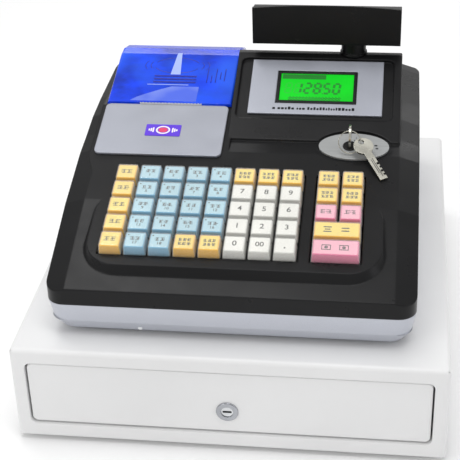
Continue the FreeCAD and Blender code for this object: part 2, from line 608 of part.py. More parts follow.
def top_housing():
    """Black upper shell: deck with bevelled wings, keyboard plateau, printer bridge and display hump."""
    body = new_body("deck_body")
    bridge = sketch_on(body, "YZ_Plane", z="bridge_left")
    outline(bridge, [("-60", "150"), ("body_rear", "150"), ("body_rear", "bridge_high"),
                     ("27.5", "bridge_high"),
                     ("-60", panel_height("-60"))])
    pad(body, bridge, "hump_left + wall - bridge_left")
    # the bridge's front left corner is cut off on a slant, so that it runs out on the bevel
    pocket(body, outline(sketch_on(body, "XY_Plane", z="210"),
                         [("bridge_left - 3", "-63"), ("-body_half + bevel_wide + 1", "-63"),
                          ("bridge_left - 3", "-33")]), "80")
    pad(body, outline(sketch_on(body, "YZ_Plane"), deck_profile("0")), "2 * (body_half - bevel_wide)",
        both_ways=True)
    wing(body, 1)
    wing(body, -1)
    plateau = on_panel_sketch(body)
    rounded_rectangle(plateau, "-plateau_half", "plateau_half", "plateau_front", "60", "plateau_corner")
    pad(body, plateau, "16", reversed_way=True, taper="skirt_angle")
    hump = sketch_on(body, "YZ_Plane", z="hump_left")
    outline(hump, [("face_y", "150"), ("body_rear", "150"), ("body_rear", "185"), ("146", "194"),
                   ("128", "203"),
                   (FACE_TOP_Y + " + 6", FACE_TOP_Z + " + 0.6"), (FACE_TOP_Y, FACE_TOP_Z),
                   ("face_y", "face_z")])
    pad(body, hump, "hump_right - hump_left")
    # the upright corners are rounded by cutting away all outside the plan outline
    plan = rounded_rectangle(sketch_on(body, "XY_Plane", z="seam - 5"), "-body_half", "body_half",
                             "body_front",
                             "body_rear", "body_corner")
    outline(plan, [("-body_half - 30", "body_front - 30"), ("body_half + 30", "body_front - 30"),
                   ("body_half + 30", "body_rear + 30"), ("-body_half - 30", "body_rear + 30")])
    pocket(body, plan, "130", reversed_way=True)
    # visible edges are rounded: the hump's front and crown, then its right side
    face_top_y, face_top_z, right = number(FACE_TOP_Y), number(FACE_TOP_Z), number("hump_right")
    fillet(body, "4", lambda e: e.BoundBox.XLength > 100 and near(e.BoundBox.YMin, face_top_y)
           and near(e.BoundBox.ZMin, face_top_z))
    fillet(body, "8", lambda e: e.BoundBox.XLength > 100 and near(e.BoundBox.YMin, face_top_y + 6)
           and near(e.BoundBox.ZMin, face_top_z + 0.6))
    fillet(body, "1.5", lambda e: near(e.BoundBox.XMin, right, 0.01) and near(e.BoundBox.XMax, right, 0.01)
           and e.BoundBox.ZMax > 204)
    # inside: the wide low space, the space under the deck, under the plateau, and in the hump
    pocket(body, outline(sketch_on(body, "YZ_Plane"),
                         deck_profile("bevel_drop + wall", "body_front + 14", "body_rear - 14",
                                      "seam - 1")),
           "2 * (body_half - wall)", both_ways=True)
    pocket(body, outline(sketch_on(body, "YZ_Plane"),
                         deck_profile("wall", "body_front + wall", "body_rear - wall", "seam - 1")),
           "2 * (body_half - bevel_wide - 1)", both_ways=True)
    under = on_panel_sketch(body, "-wall")
    pocket(body, rounded_rectangle(under, "-plateau_half + 6", "plateau_half - 6", "plateau_front + 6",
                                   "100", "10"), "16")
    inner_bridge = sketch_on(body, "YZ_Plane", z=BAY_LEFT)
    pocket(body, outline(inner_bridge, [("-60", "149"), ("body_rear - wall", "149"),
                                        ("body_rear - wall", "bridge_high - wall"),
                                        ("27.5", "bridge_high - wall"),
                                        ("-60", panel_height("-60") + " - wall")]),
           "hump_left - (%s)" % BAY_LEFT, reversed_way=True)
    inner_hump = sketch_on(body, "YZ_Plane", z="hump_left + wall")
    pocket(body, outline(inner_hump, [("face_y + 2", "149"), ("body_rear - wall", "149"),
                                      ("body_rear - wall", "182"),
                                      ("144", "190.3"), ("126.5", "199.3"),
                                      (FACE_TOP_Y + " + 5", FACE_TOP_Z + " - 6"),
                                      (FACE_TOP_Y, FACE_TOP_Z + " - 7"), ("face_y + 2", "face_z - 6")]),
           "hump_right - hump_left - 2 * wall", reversed_way=True)
    # openings: two key fields, the printer cover, the printer bay, the display recess and its window
    for low, high in KEY_FIELDS:
        pocket(body, rectangle(on_panel_sketch(body, "1"), low, high, FIELD_LOW, FIELD_HIGH), "20")
    pocket(body, rectangle(on_panel_sketch(body, "3"), "cover_left + 4", "cover_right - 4", "107", "164"),
           "20")
    pocket(body, rectangle(sketch_on(body, "XY_Plane", z="bridge_high + 1"), BAY_LEFT, "hump_left", "29.5",
                           "body_rear - 2.5"), "30")
    pocket(body, rounded_rectangle(on_face_sketch(body, "1"), "-15", "123", "24.8", "99.2", "6"), "4")
    pocket(body, rectangle(on_face_sketch(body, "0"), "18.9 + 2", "90.6 - 2", "44.8 + 2", "84.4 - 2"), "16")
    tools = [ellipse_plug("lock_recess", "plate_long + 3", "plate_short + 3", "5", "-1"),
             on_panel(rod("lock_well", "0", "0", "0", "barrel_radius + 2", "30"), "lock_x", "lock_v",
                      "-20"),
             rod("pole_socket", "pole_x", "pole_y", "200", "pole_radius + fit", "50"),
             rod("foot_seat", "pole_x", "pole_y", POLE_SEAT, "pole_radius + 1 + fit", "20"),
             block("inlet_hole", "94", "body_rear - 10", "128", "30", "20", "22")]
    # each hinge bracket reaches back to the pin from in front, clear of the lid's tail as it swings down
    brackets = []
    for low in (BAY_LEFT, "hump_left - 7.2"):
        brackets.append(block("hinge_foot", low, "lid_hinge_y - 25", "188", "7.2", "10",
                              "bridge_high - 188"))
    for low in ("cover_left + 3.7", "hump_left - 7.2"):
        brackets.append(block("hinge_post", low, "lid_hinge_y - 25", "188", "3", "10", "18"))
        brackets.append(block("hinge_arm", low, "lid_hinge_y - 25", "lid_hinge_z - 4", "3", "30", "8"))
    # the pole stands on a boss that rises from the slope behind the crown
    brackets.append(rod("pole_boss", "pole_x", "pole_y + 1", "205", "pole_radius + 1.2",
                        POLE_SEAT + " - 205"))
    for low in ("cover_left", "hump_left - 8"):
        tools.append(rod("hinge_hole", low, "lid_hinge_y", "lid_hinge_z", "pin_radius + fit", "8", "x"))
    shell = cut("housing_cut", fuse("housing_with_brackets", [body] + brackets), tools)
    return keep(shell, "top_housing")


# ==================================================================== keyboard

def keycap(name, columns=1):
    """A keycap with flared sides on a square stem; its own origin is on the panel under its middle."""
    extra = "%d * pitch / 2" % (columns - 1)
    base, top = "key_base / 2 + " + extra, "key_top / 2 + " + extra
    cap = wedge(name + "_cap", "-(%s)" % base, base, "-key_base / 2", "key_base / 2", "-(%s)" % top, top,
                "-key_top / 2", "key_top / 2", "-key_sink", "key_rise")
    stem = block(name + "_stem", "-stem_size / 2", "-stem_size / 2", "-stem_length", "stem_size",
                 "stem_size",
                 "stem_length")
    return fuse(name, [cap, stem])


def key_at(name, column, row, columns=1):
    """A key in the grid; column and row count pitches from the front left key."""
    return on_panel(keycap(name, columns), "key_first_x + %s * pitch" % column,
                    "key_first_v + %s * pitch" % row)


DIGIT_ROWS = (("key_0", "key_00", "key_point"), ("key_1", "key_2", "key_3"), ("key_4", "key_5", "key_6"),
              ("key_7", "key_8", "key_9"))
DIGIT_COLUMN = 5
RIGHT_COLUMN = 8.5
KEY_PLACES = []


def keys():
    """Digit keys and the two wide keys each on their own; the other keys grouped by colour."""
    for row, names in enumerate(DIGIT_ROWS):
        for column, name in enumerate(names, start=DIGIT_COLUMN):
            keep(key_at(name + "_body", column, row), name)
            KEY_PLACES.append((column, row))
    keep(key_at("cash_body", RIGHT_COLUMN + 0.5, 0, 2), "cash_key")
    keep(key_at("subtotal_body", RIGHT_COLUMN + 0.5, 1, 2), "subtotal_key")
    KEY_PLACES.extend([(RIGHT_COLUMN + 0.5, 0), (RIGHT_COLUMN + 0.5, 1)])
    right = [(RIGHT_COLUMN, row) for row in (2, 3, 4)] + [(RIGHT_COLUMN + 1, row) for row in (2, 3, 4)]
    colours = {
        "pink_keys": [place for place in right if place[1] == 2],
        "yellow_keys_right": [place for place in right if place[1] > 2],
        "yellow_keys_left": [(0, row) for row in range(5)] + [(3, 0), (4, 0), (5, 4), (6, 4), (7, 4)],
        "blue_keys": [(1, 0), (2, 0)] + [(column, row) for column in (1, 2, 3, 4) for row in (1, 2, 3, 4)],
    }
    for name, places in colours.items():
        caps = [key_at("%s_%d" % (name, i), column, row) for i, (column, row) in enumerate(places)]
        keep(group(name + "_group", caps), name)
        KEY_PLACES.extend(places)


def key_plate():
    """Moulded plate below the caps with a guide hole for every stem."""
    plate = flat_block("guide_plate", "key_first_x - pitch / 2 - 2", "plateau_front + 11", "-11",
                       "11 * pitch - 9", "5 * pitch + 9", "2", on_panel)
    holes = [flat_block("stem_hole", "key_first_x + %s * pitch - stem_size / 2 - 0.4" % column,
                        "key_first_v + %s * pitch - stem_size / 2 - 0.4" % row, "-14", "stem_size + 0.8",
                        "stem_size + 0.8", "8", on_panel) for column, row in KEY_PLACES]
    return keep(cut("guide_plate_cut", plate, holes), "key_plate")


# ============================================================= receipt printer

def printer_panel():
    """Silver cover in front of the paper bay, with a rib that drops into its opening."""
    body = new_body("panel_cover_body")
    face = on_panel_sketch(body, "0.1")
    rounded_rectangle(face, "cover_left", "cover_right", "103.1", "170.2", "5")
    pad(body, face, "1.9")
    doc.recompute()
    rib = on_panel_sketch(body, "0.1")
    rectangle(rib, "cover_left + 4.4", "cover_right - 4.4", "107.4", "163.6")
    pad(body, rib, "4", reversed_way=True)
    inside = on_panel_sketch(body, "-3.9")
    rectangle(inside, "cover_left + 6.4", "cover_right - 6.4", "109.4", "161.6")
    pocket(body, inside, "3.8", reversed_way=True)
    return keep(body, "printer_panel")


def lid_outline(skin):
    """Side outline of the paper lid, or of the space inside it."""
    low = "bridge_high + 0.3"
    return [("28 + (%s)" % skin, low), ("lid_hinge_y + lid_tail - (%s)" % skin, low),
            ("lid_hinge_y + lid_tail - (%s)" % skin, "207 - (%s) / 2" % skin),
            ("129", "215.5 - (%s)" % skin), ("110", "220.5 - (%s)" % skin), ("98", "220.2 - (%s)" % skin),
            ("28 + (%s)" % skin, "202.6 + (%s) * 0.25 - (%s)" % (skin, skin))]


def printer_lid():
    """Clear blue lid over the paper roll, with two ears that turn on the hinge pin."""
    body = new_body("lid_body")
    pad(body, outline(sketch_on(body, "YZ_Plane", z="cover_left"), lid_outline("0")),
        "lid_right - cover_left")
    left, right = number("cover_left"), number("lid_right")
    fillet(body, "14", lambda e: e.BoundBox.XLength > 50 and near(e.BoundBox.YMin, 98, 0.1))
    fillet(body, "8", lambda e: e.BoundBox.XLength > 50 and near(e.BoundBox.YMin, 129, 0.1))
    fillet(body, "6", lambda e: e.BoundBox.XLength > 50 and near(e.BoundBox.ZMin, 207, 0.1))
    fillet(body, "2.2", lambda e: (near(e.BoundBox.XMin, left, 0.01) and near(e.BoundBox.XMax, left, 0.01)
                                   or near(e.BoundBox.XMin, right, 0.01) and near(e.BoundBox.XMax, right,
                                                                                  0.01))
           and e.BoundBox.ZMax > 202.7)
    hollow = outline(sketch_on(body, "YZ_Plane", z="cover_left + lid_skin"), lid_outline("lid_skin"))
    pocket(body, hollow, "lid_right - cover_left - 2 * lid_skin", reversed_way=True)
    ears = []
    for name, low in (("left", "cover_left + 7.4"), ("right", "lid_right - 12.4")):
        ears.append(block("ear_plate_" + name, low, "lid_hinge_y - 4", "lid_hinge_z", "4", "8", "6.6"))
        ears.append(rod("ear_hub_" + name, low, "lid_hinge_y", "lid_hinge_z", "4", "4", "x"))
    bore = rod("ear_bore", "cover_left + 4", "lid_hinge_y", "lid_hinge_z", "pin_radius + fit",
               "lid_right - cover_left - 8", "x")
    return keep(cut("lid_with_bore", fuse("lid_with_ears", [body] + ears), [bore]), "printer_lid")


def printer_works():
    """Hinge pin, printer frame, paper roll on its spindle, and the rubber platen."""
    keep(rod("hinge_rod", "cover_left + 3.7", "lid_hinge_y", "lid_hinge_z", "pin_radius",
             "hump_left - cover_left - 7.9", "x"), "lid_hinge_pin")
    left, right = "-108", "-42"
    floor = block("frame_floor", left, "36", "152", "%s - (%s)" % (right, left), "96", "2")
    sides = []
    for low in (left, "%s - 2" % right):
        sides.append(block("frame_side", low, "36", "152", "2", "20", "42"))
        sides.append(block("frame_cradle", low, "roll_y - 12", "152", "2", "24", "roll_z - 152 + 10"))
    head = block("print_head", left + " + 2", "34", "178", "62", "6", "12")
    ribs = block("motor_block", left + " + 2", "60", "154", "24", "12", "16")
    holes = [rod("frame_spindle_hole", "-110", "roll_y", "roll_z", "spindle_radius", "70", "x"),
             rod("frame_platen_hole", "-110", "platen_y", "platen_z", "2 + fit", "70", "x")]
    frame = fuse("frame_parts", [floor] + sides + [ribs])
    keep(fuse("frame_and_head", [cut("frame_bored", frame, holes), head]), "printer_frame")
    keep(rod("spindle_bar", "-108", "roll_y", "roll_z", "spindle_radius", "66", "x"), "paper_spindle")
    roll = rod("roll_outer", "-75 - roll_width / 2", "roll_y", "roll_z", "roll_radius", "roll_width", "x")
    core = rod("roll_core", "-75 - roll_width", "roll_y", "roll_z", "spindle_radius + fit",
               "2 * roll_width", "x")
    keep(cut("roll", roll, [core]), "paper_roll")
    rubber = rod("platen_rubber", "-104", "platen_y", "platen_z", "platen_radius", "58", "x")
    shaft = rod("platen_shaft", "-112", "platen_y", "platen_z", "2", "72", "x")
    gear = rod("platen_gear", "-113", "platen_y", "platen_z", "7.5", "4", "x")
    keep(fuse("platen", [rubber, shaft, gear]), "platen_roller")


# ================================================================== displays

def operator_display():
    """Silver plate in the recess, and the display module behind its window."""
    plate = flat_block("bezel_plate", "-4.9", "31.8", "-3", "118.6", "66.3", "1.6", on_face)
    window = flat_block("bezel_window", "18.9", "44.8", "-5", "71.7", "39.6", "6", on_face)
    keep(cut("bezel", plate, [window]), "display_bezel")
    frame = flat_block("module_frame", "19", "44.9", "-3", "71.5", "39.4", "2", on_face)
    back = flat_block("module_back", "21.2", "47.1", "-10", "67", "35", "8", on_face)
    glass = flat_block("module_glass", "22", "47.9", "-1.8", "65.5", "33.4", "2", on_face)
    keep(cut("module", fuse("module_solid", [frame, back]), [glass]), "lcd_module")


def customer_display():
    """Post on the hump, and the head that swivels on it with its window facing the customer."""
    collar = rod("post_collar", "pole_x", "pole_y", "218", "pole_radius", "head_low - 0.5 - 218")
    foot = rod("post_foot", "pole_x", "pole_y", POLE_SEAT, "pole_radius + 1", "2.4")
    spigot = rod("post_spigot", "pole_x", "pole_y", "220", "8", "head_low + 12 - 220")
    keep(fuse("post", [collar, foot, spigot]), "display_pole")
    body = new_body("head_body")
    front = sketch_on(body, "XZ_Plane", z="-pole_y + head_deep / 2")
    arched_outline(front, "head_left", "head_right", "head_low", "head_high", "3")
    pad(body, front, "head_deep", reversed_way=True)
    lean = sketch_on(body, "YZ_Plane", z="head_left - 5")
    pocket(body, outline(lean, [("pole_y + head_deep / 2 + 5", "head_low + 8"),
                                ("pole_y + head_deep / 2 + 5", "head_high + 9"),
                                ("pole_y - head_deep / 2 + 1.5", "head_high + 9"),
                                ("pole_y - head_deep / 2 + 1.5", "head_high + 3.2"),
                                ("pole_y - head_deep / 2 + 4", "head_high - 1.2"),
                                ("pole_y + head_deep / 2 - 5", "head_high - 5"),
                                ("pole_y + head_deep / 2", "head_low + 8")]),
           "head_right - head_left + 10", reversed_way=True)
    hollow = sketch_on(body, "YZ_Plane", z="head_left + wall")
    pocket(body, outline(hollow, [("pole_y - head_deep / 2 + wall", "head_low + wall"),
                                  ("pole_y + head_deep / 2 - wall", "head_low + wall"),
                                  ("pole_y + head_deep / 2 - wall", "head_low + 10"),
                                  ("pole_y + head_deep / 2 - 5 - wall", "head_high - 5.5 - wall"),
                                  ("pole_y - head_deep / 2 + wall", "head_high - 1.5 - wall")]),
           "head_right - head_left - 2 * wall", reversed_way=True)
    socket = rod("head_socket", "pole_x", "pole_y", "head_low - 1", "8 + fit", "wall + 2")
    sleeve = cut("head_sleeve", rod("sleeve_outer", "pole_x", "pole_y", "head_low", "10.5", "12"),
                 [rod("sleeve_bore", "pole_x", "pole_y", "head_low - 1", "8 + fit", "14")])
    keep(fuse("head", [cut("head_shell", body, [socket]), sleeve]), "customer_display_case")
    window = block("rear_window", "0", "0", "0", "head_right - head_left - 14", "1.2", "18")
    place(window, "head_left + 7", "pole_y + head_deep / 2 - 0.3", "head_low + 9.5", (1, 0, 0), "12.3")
    keep(window, "customer_display_window")


def arched_outline(drawing, low_x, high_x, low_y, high_y, rise):
    """A rectangle whose upper side is a shallow arc."""
    left, right, bottom, top = number(low_x), number(high_x), number(low_y), number(high_y)
    crown = number(rise)
    corners = [Vector(left, top, 0), Vector(left, bottom, 0), Vector(right, bottom, 0),
               Vector(right, top, 0)]
    for start, end in zip(corners, corners[1:]):
        drawing.addGeometry(Part.LineSegment(start, end), False)
    arc = Part.Arc(corners[3], Vector((left + right) / 2, top + crown, 0), corners[0])
    drawing.addGeometry(arc, False)
    for first, first_end, second, second_end in ((0, 2, 1, 1), (1, 2, 2, 1)):
        drawing.addConstraint(Sketcher.Constraint("Coincident", first, first_end, second, second_end))
    # the arc is stored counter-clockwise, so it starts at the right-hand corner
    drawing.addConstraint(Sketcher.Constraint("Coincident", 2, 2, 3, 1))
    drawing.addConstraint(Sketcher.Constraint("Coincident", 3, 2, 0, 1))
    for line, point, texts in ((0, 1, (low_x, high_y)), (1, 1, (low_x, low_y)), (2, 1, (high_x, low_y)),
                               (3, 1, (high_x, high_y))):
        for kind, text in zip(("DistanceX", "DistanceY"), texts):
            index = drawing.addConstraint(Sketcher.Constraint(kind, -1, 1, line, point, number(text)))
            drawing.setExpression("Constraints[%d]" % index, expression(text))
    half = "((%s) - (%s)) / 2" % (high_x, low_x)
    radius = "((%s) ^ 2 + (%s) ^ 2) / (2 * (%s))" % (half, rise, rise)
    index = drawing.addConstraint(Sketcher.Constraint("Radius", 3, number(radius)))
    drawing.setExpression("Constraints[%d]" % index, expression(radius))


# ================================================================== mode lock

RING_LEAN = 54.7
HOOK_HEIGHT = 17.0


def panel_direction(x, v, n):
    """A direction given across, up and off the keyboard panel, turned into the row's axes."""
    slope = math.radians(number("panel_slope"))
    return Vector(x, v * math.cos(slope) - n * math.sin(slope), v * math.sin(slope) + n * math.cos(slope))


def panel_point(x, v, n):
    """A point given from the lock's middle on the keyboard panel."""
    base = Vector(number("lock_x"), number("panel_y"), number("panel_z"))
    return base + panel_direction(x, v + number("lock_v"), n)


def flat_key(name, blade_start, blade_end):
    """A flat key: its hole at the origin, its blade along +X, its faces towards +Z and -Z."""
    half = "-key_thick / 2"
    bow = rod(name + "_bow", "4.5", "0", half, "bow_radius", "key_thick")
    blade = block(name + "_blade", blade_start, "-3.4", half, blade_end + " - (%s)" % blade_start, "6.8",
                  "key_thick")
    hole = rod(name + "_hole", "0", "0", "-5", "2.6", "10")
    teeth = [block("%s_tooth_%d" % (name, i), "%s - %s" % (blade_end, back), deep, "-5", "2.2", "6", "10")
             for i, (back, deep) in enumerate((("5.5", "1.9"), ("9.5", "1.2"), ("13.5", "2.2"),
                                               ("17.5", "1.5")))]
    return cut(name, fuse(name + "_solid", [bow, blade]), [hole] + teeth)


def mode_lock():
    """Lock plate, barrel with its key standing in it, and a split ring that carries a spare key."""
    disc = ellipse_plug("plate_disc", "plate_long", "plate_short", "1.8", "-0.9")
    hole = on_panel(rod("plate_hole", "0", "0", "0", "barrel_radius + 0.08", "8"), "lock_x", "lock_v", "-4")
    keep(cut("plate", disc, [hole]), "lock_plate")
    barrel = on_panel(rod("barrel_rod", "0", "0", "0", "barrel_radius", "28"), "lock_x", "lock_v", "-26.5")
    keyway = flat_block("barrel_keyway", "lock_x - key_thick / 2 - 0.15", "lock_v - 3.6", "-24",
                        "key_thick + 0.3", "7.2", "30", on_panel)
    keep(cut("barrel", barrel, [keyway]), "mode_lock_barrel")

    # the key in use points into the barrel; its hole is at the hook height above the panel
    used = flat_key("used_key", "8", "38")
    down, across = panel_direction(0, 0, -1), panel_direction(1, 0, 0)
    used.Placement = Placement(panel_point(0, 0, HOOK_HEIGHT + 0.9),
                               Rotation(down, Vector(), across, "XZY"))
    keep(used, "mode_key")

    # the ring hangs through that hole and leans towards the operator
    ring = doc.addObject("Part::Torus", "split_ring")
    bind(ring, "Radius1", "ring_radius")
    bind(ring, "Radius2", "ring_wire")
    lean = math.radians(RING_LEAN)
    rise = Vector(0, math.cos(lean), math.sin(lean))
    radius = number("ring_radius")
    centre = Vector(0, 0, HOOK_HEIGHT + 0.9) - rise * radius
    ring.Placement = Placement(panel_point(centre.x, centre.y, centre.z),
                               Rotation(Vector(1, 0, 0), RING_LEAN + number("panel_slope")))
    keep(ring, "key_ring")

    # the spare key hangs from the ring's right-hand side and its tip rests near the panel
    hang = centre + Vector(radius, 0, 0)
    length = 38.0
    fall = (hang.z - 2.4) / length
    level = math.sqrt(1 - fall ** 2)
    heading = Vector(0.5 * level, -0.866 * level, -fall)
    spare = flat_key("loose_key", "8", "42")
    along = panel_direction(heading.x, heading.y, heading.z)
    normal = panel_direction(0, 0, 1)
    spare.Placement = Placement(panel_point(hang.x, hang.y, hang.z),
                                Rotation(along, Vector(), normal, "XZY"))
    keep(spare, "spare_key")


# ================================================================= inner parts

def electronics():
    """Main board on its posts, mains supply, and the power socket in the back wall."""
    board = block("board_sheet", "-95", "-115", "base_low + wall + 6", "190", "150", "1.6")
    sizes = (("-30", "-60", "28", "28", "3"), ("20", "-70", "16", "36", "3.5"),
             ("-70", "0", "40", "14", "9"), ("50", "-20", "22", "22", "12"))
    chips = [block("board_chip_%d" % i, x, y, "base_low + wall + 7.6", wide, deep, high)
             for i, (x, y, wide, deep, high) in enumerate(sizes)]
    keep(fuse("board", [board] + chips), "main_board")
    core = block("supply_core", "60", "60", "base_low + wall", "56", "46", "40")
    winding = block("supply_winding", "54", "68", "base_low + wall + 10", "68", "30", "20")
    keep(fuse("supply", [core, winding]), "power_supply")
    shell = block("inlet_shell", "94.2", "body_rear - 16", "128.2", "29.6", "16", "21.6")
    flange = block("inlet_flange", "91", "body_rear", "125", "36", "1.8", "28")
    recess = block("inlet_recess", "97.5", "body_rear - 12", "131.5", "23", "20", "15")
    keep(cut("inlet", fuse("inlet_solid", [shell, flange]), [recess]), "power_inlet")


def screws():
    """Identical pan-head screws: four under the drawer case and four in its back wall."""
    heads = []
    for i, (x, y) in enumerate((("-150", "-150"), ("150", "-150"), ("-150", "150"), ("150", "150"))):
        head = rod("low_screw_head_%d" % i, x, y, "foot_height - 2", "3", "2")
        shank = rod("low_screw_shank_%d" % i, x, y, "foot_height", "1.5", "6")
        heads.append(fuse("low_screw_%d" % i, [head, shank]))
    for i, x in enumerate(("-150", "-50", "50", "150")):
        head = rod("back_screw_head_%d" % i, x, "case_depth / 2 - sheet - 0.5", "78", "3", "2", "y")
        shank = rod("back_screw_shank_%d" % i, x, "case_depth / 2 - sheet - 5", "78", "1.5", "5", "y")
        heads.append(fuse("back_screw_%d" % i, [head, shank]))
    return keep(group("screws", heads), "case_screws")


def build():
    drawer_case()
    case_base_plate()
    rubber_feet()
    case_rails()
    drawer_runners()
    drawer_box()
    drawer_front()
    drawer_lock()
    money_tray()
    note_clips()
    ejector()
    base_housing()
    top_housing()
    keys()
    key_plate()
    printer_panel()
    printer_lid()
    printer_works()
    operator_display()
    customer_display()
    mode_lock()
    electronics()
    screws()


build()
doc.recompute()

problems = []
for thing in doc.Objects:
    if "Invalid" in thing.State or "Error" in thing.State:
        problems.append("%s: %s" % (thing.Label, thing.State))
for node in NODES:
    if node.Shape.isNull() or not node.Shape.Solids or not node.Shape.isValid():
        problems.append(node.Label + ": bad shape")
if problems:
    raise RuntimeError("; ".join(problems))

os.makedirs("parts", exist_ok=True)
for node in NODES:
    node.Shape.exportStep("parts/%s.step" % node.Label)
    print(node.Label, len(node.Shape.Solids), round(node.Shape.Volume))
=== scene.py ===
import bmesh
import bpy
import json
import math
import random
from mathutils import Matrix, Vector


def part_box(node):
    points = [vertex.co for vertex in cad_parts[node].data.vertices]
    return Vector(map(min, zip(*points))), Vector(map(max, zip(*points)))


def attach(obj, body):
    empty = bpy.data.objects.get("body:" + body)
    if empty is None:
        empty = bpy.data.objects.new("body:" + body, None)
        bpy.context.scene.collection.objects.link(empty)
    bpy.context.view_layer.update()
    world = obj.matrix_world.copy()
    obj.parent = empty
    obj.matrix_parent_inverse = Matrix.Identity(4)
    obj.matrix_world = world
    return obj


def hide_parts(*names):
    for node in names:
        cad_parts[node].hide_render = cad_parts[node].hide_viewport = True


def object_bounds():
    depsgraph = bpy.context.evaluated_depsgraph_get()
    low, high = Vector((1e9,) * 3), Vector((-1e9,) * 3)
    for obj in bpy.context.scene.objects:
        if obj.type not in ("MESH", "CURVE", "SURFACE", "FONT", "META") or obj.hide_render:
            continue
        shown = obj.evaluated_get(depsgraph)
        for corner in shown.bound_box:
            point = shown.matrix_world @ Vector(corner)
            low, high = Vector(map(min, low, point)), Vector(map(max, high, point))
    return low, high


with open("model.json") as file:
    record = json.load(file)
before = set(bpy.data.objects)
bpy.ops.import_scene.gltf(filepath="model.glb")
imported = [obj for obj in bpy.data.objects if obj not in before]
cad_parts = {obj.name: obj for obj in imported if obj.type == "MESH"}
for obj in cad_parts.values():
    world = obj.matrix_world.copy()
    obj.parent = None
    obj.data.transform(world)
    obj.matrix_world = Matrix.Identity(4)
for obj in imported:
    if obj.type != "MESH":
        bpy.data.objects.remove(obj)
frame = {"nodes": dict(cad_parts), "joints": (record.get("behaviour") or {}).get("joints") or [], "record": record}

CAD_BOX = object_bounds()
MM = 0.001
SCENE = bpy.context.scene
JOINTS = {joint["name"]: joint for joint in frame["joints"]}
random.seed(11)


# ---------------------------------------------------------------- materials

def linear(code):
    """A web colour such as a0b0c0 as linear red, green and blue."""
    values = [int(code[i:i + 2], 16) / 255 for i in (0, 2, 4)]
    return [v / 12.92 if v < 0.04045 else ((v + 0.055) / 1.055) ** 2.4 for v in values]


FINISHES = {}


class Finish:
    """A Principled material whose patterns are laid out in the object's own metres."""

    def __init__(self, name, colour, rough, **settings):
        self.material = bpy.data.materials.new(name)
        self.material.use_nodes = True
        self.nodes = self.material.node_tree.nodes
        self.links = self.material.node_tree.links
        self.shader = self.nodes["Principled BSDF"]
        self.colour = linear(colour)
        self.shader.inputs["Base Color"].default_value = (*self.colour, 1)
        self.shader.inputs["Roughness"].default_value = rough
        for key, value in settings.items():
            self.shader.inputs[key.replace("_", " ")].default_value = value
        self.place = self.add("TexCoord").outputs["Object"]
        self.normal = None
        FINISHES[name] = self

    def add(self, kind, sockets=None, **properties):
        """A new node with its settings, and with its sockets set or fed."""
        node = self.nodes.new("ShaderNode" + kind)
        for key, value in properties.items():
            setattr(node, key, value)
        for key, value in (sockets or {}).items():
            if isinstance(value, bpy.types.NodeSocket):
                self.links.new(value, node.inputs[key])
            else:
                node.inputs[key].default_value = value
        return node

    def noise(self, scale, detail, stretch=(1, 1, 1)):
        """Cloudy noise, about one lump in 1/scale metres; a small factor stretches it along an axis."""
        spot = self.add("Mapping", {"Vector": self.place, "Scale": stretch})
        sockets = {"Vector": spot.outputs[0], "Scale": scale, "Detail": detail}
        return self.add("TexNoise", sockets).outputs[0]

    def cells(self, scale):
        """The distance to the middle of the nearest cell, with cells about 1/scale metres apart."""
        return self.add("TexVoronoi", {"Vector": self.place, "Scale": scale}).outputs["Distance"]

    def remap(self, value, low, high, start=0.3, end=0.7):
        """A value between start and end turned into one between low and high."""
        sockets = {"Value": value, "From Min": start, "From Max": end, "To Min": low, "To Max": high}
        return self.add("MapRange", sockets).outputs[0]

    def shade(self, value, low, high, start=0.3, end=0.7):
        """The base colour runs from low to high times itself as the value goes from start to end."""
        mix = self.add("Mix", {0: self.remap(value, 0, 1, start, end)}, data_type="RGBA")
        old = self.shader.inputs["Base Color"]
        for index, factor in ((6, low), (7, high)):
            if old.is_linked:
                scaled = self.add("VectorMath", {0: old.links[0].from_socket}, operation="SCALE")
                scaled.inputs["Scale"].default_value = factor
                self.links.new(scaled.outputs[0], mix.inputs[index])
            else:
                mix.inputs[index].default_value = [min(c * factor, 1) for c in self.colour] + [1]
        self.links.new(mix.outputs[2], old)

    def blend(self, value, other, start=0.3, end=0.7):
        """The base colour turns into another web colour as the value goes from start to end."""
        sockets = {0: self.remap(value, 0, 1, start, end), 7: (*linear(other), 1)}
        mix = self.add("Mix", sockets, data_type="RGBA")
        old = self.shader.inputs["Base Color"]
        if old.is_linked:
            self.links.new(old.links[0].from_socket, mix.inputs[6])
        else:
            mix.inputs[6].default_value = (*self.colour, 1)
        self.links.new(mix.outputs[2], old)

    def gloss(self, value, low, high):
        """Roughness that wanders from low to high."""
        self.links.new(self.remap(value, low, high), self.shader.inputs["Roughness"])

    def glow(self, colour, strength):
        """Light of its own, in linear red, green and blue."""
        self.shader.inputs["Emission Color"].default_value = (*colour, 1)
        self.shader.inputs["Emission Strength"].default_value = strength

    def soften(self, radius):
        """Light catches edges as if they were rounded by this radius in millimetres."""
        self.normal = self.add("Bevel", {"Radius": radius * MM}, samples=6).outputs[0]
        self.links.new(self.normal, self.shader.inputs["Normal"])

    def relief(self, value, depth):
        """Bumps of this depth in millimetres."""
        sockets = {"Height": value, "Distance": depth * MM, "Strength": 1.0}
        if self.normal is not None:
            sockets["Normal"] = self.normal
        self.normal = self.add("Bump", sockets).outputs["Normal"]
        self.links.new(self.normal, self.shader.inputs["Normal"])


def moulded(name, colour, rough, depth=0.012, edge=0.5, **settings):
    """Moulded plastic: fine spark-eroded grain, soft edges and slightly uneven gloss and tone."""
    finish = Finish(name, colour, rough, **settings)
    finish.soften(edge)
    finish.relief(finish.noise(2200, 2), depth)
    finish.gloss(finish.noise(45, 4), rough * 0.85, rough * 1.2)
    finish.shade(finish.noise(18, 5), 0.93, 1.07)
    return finish


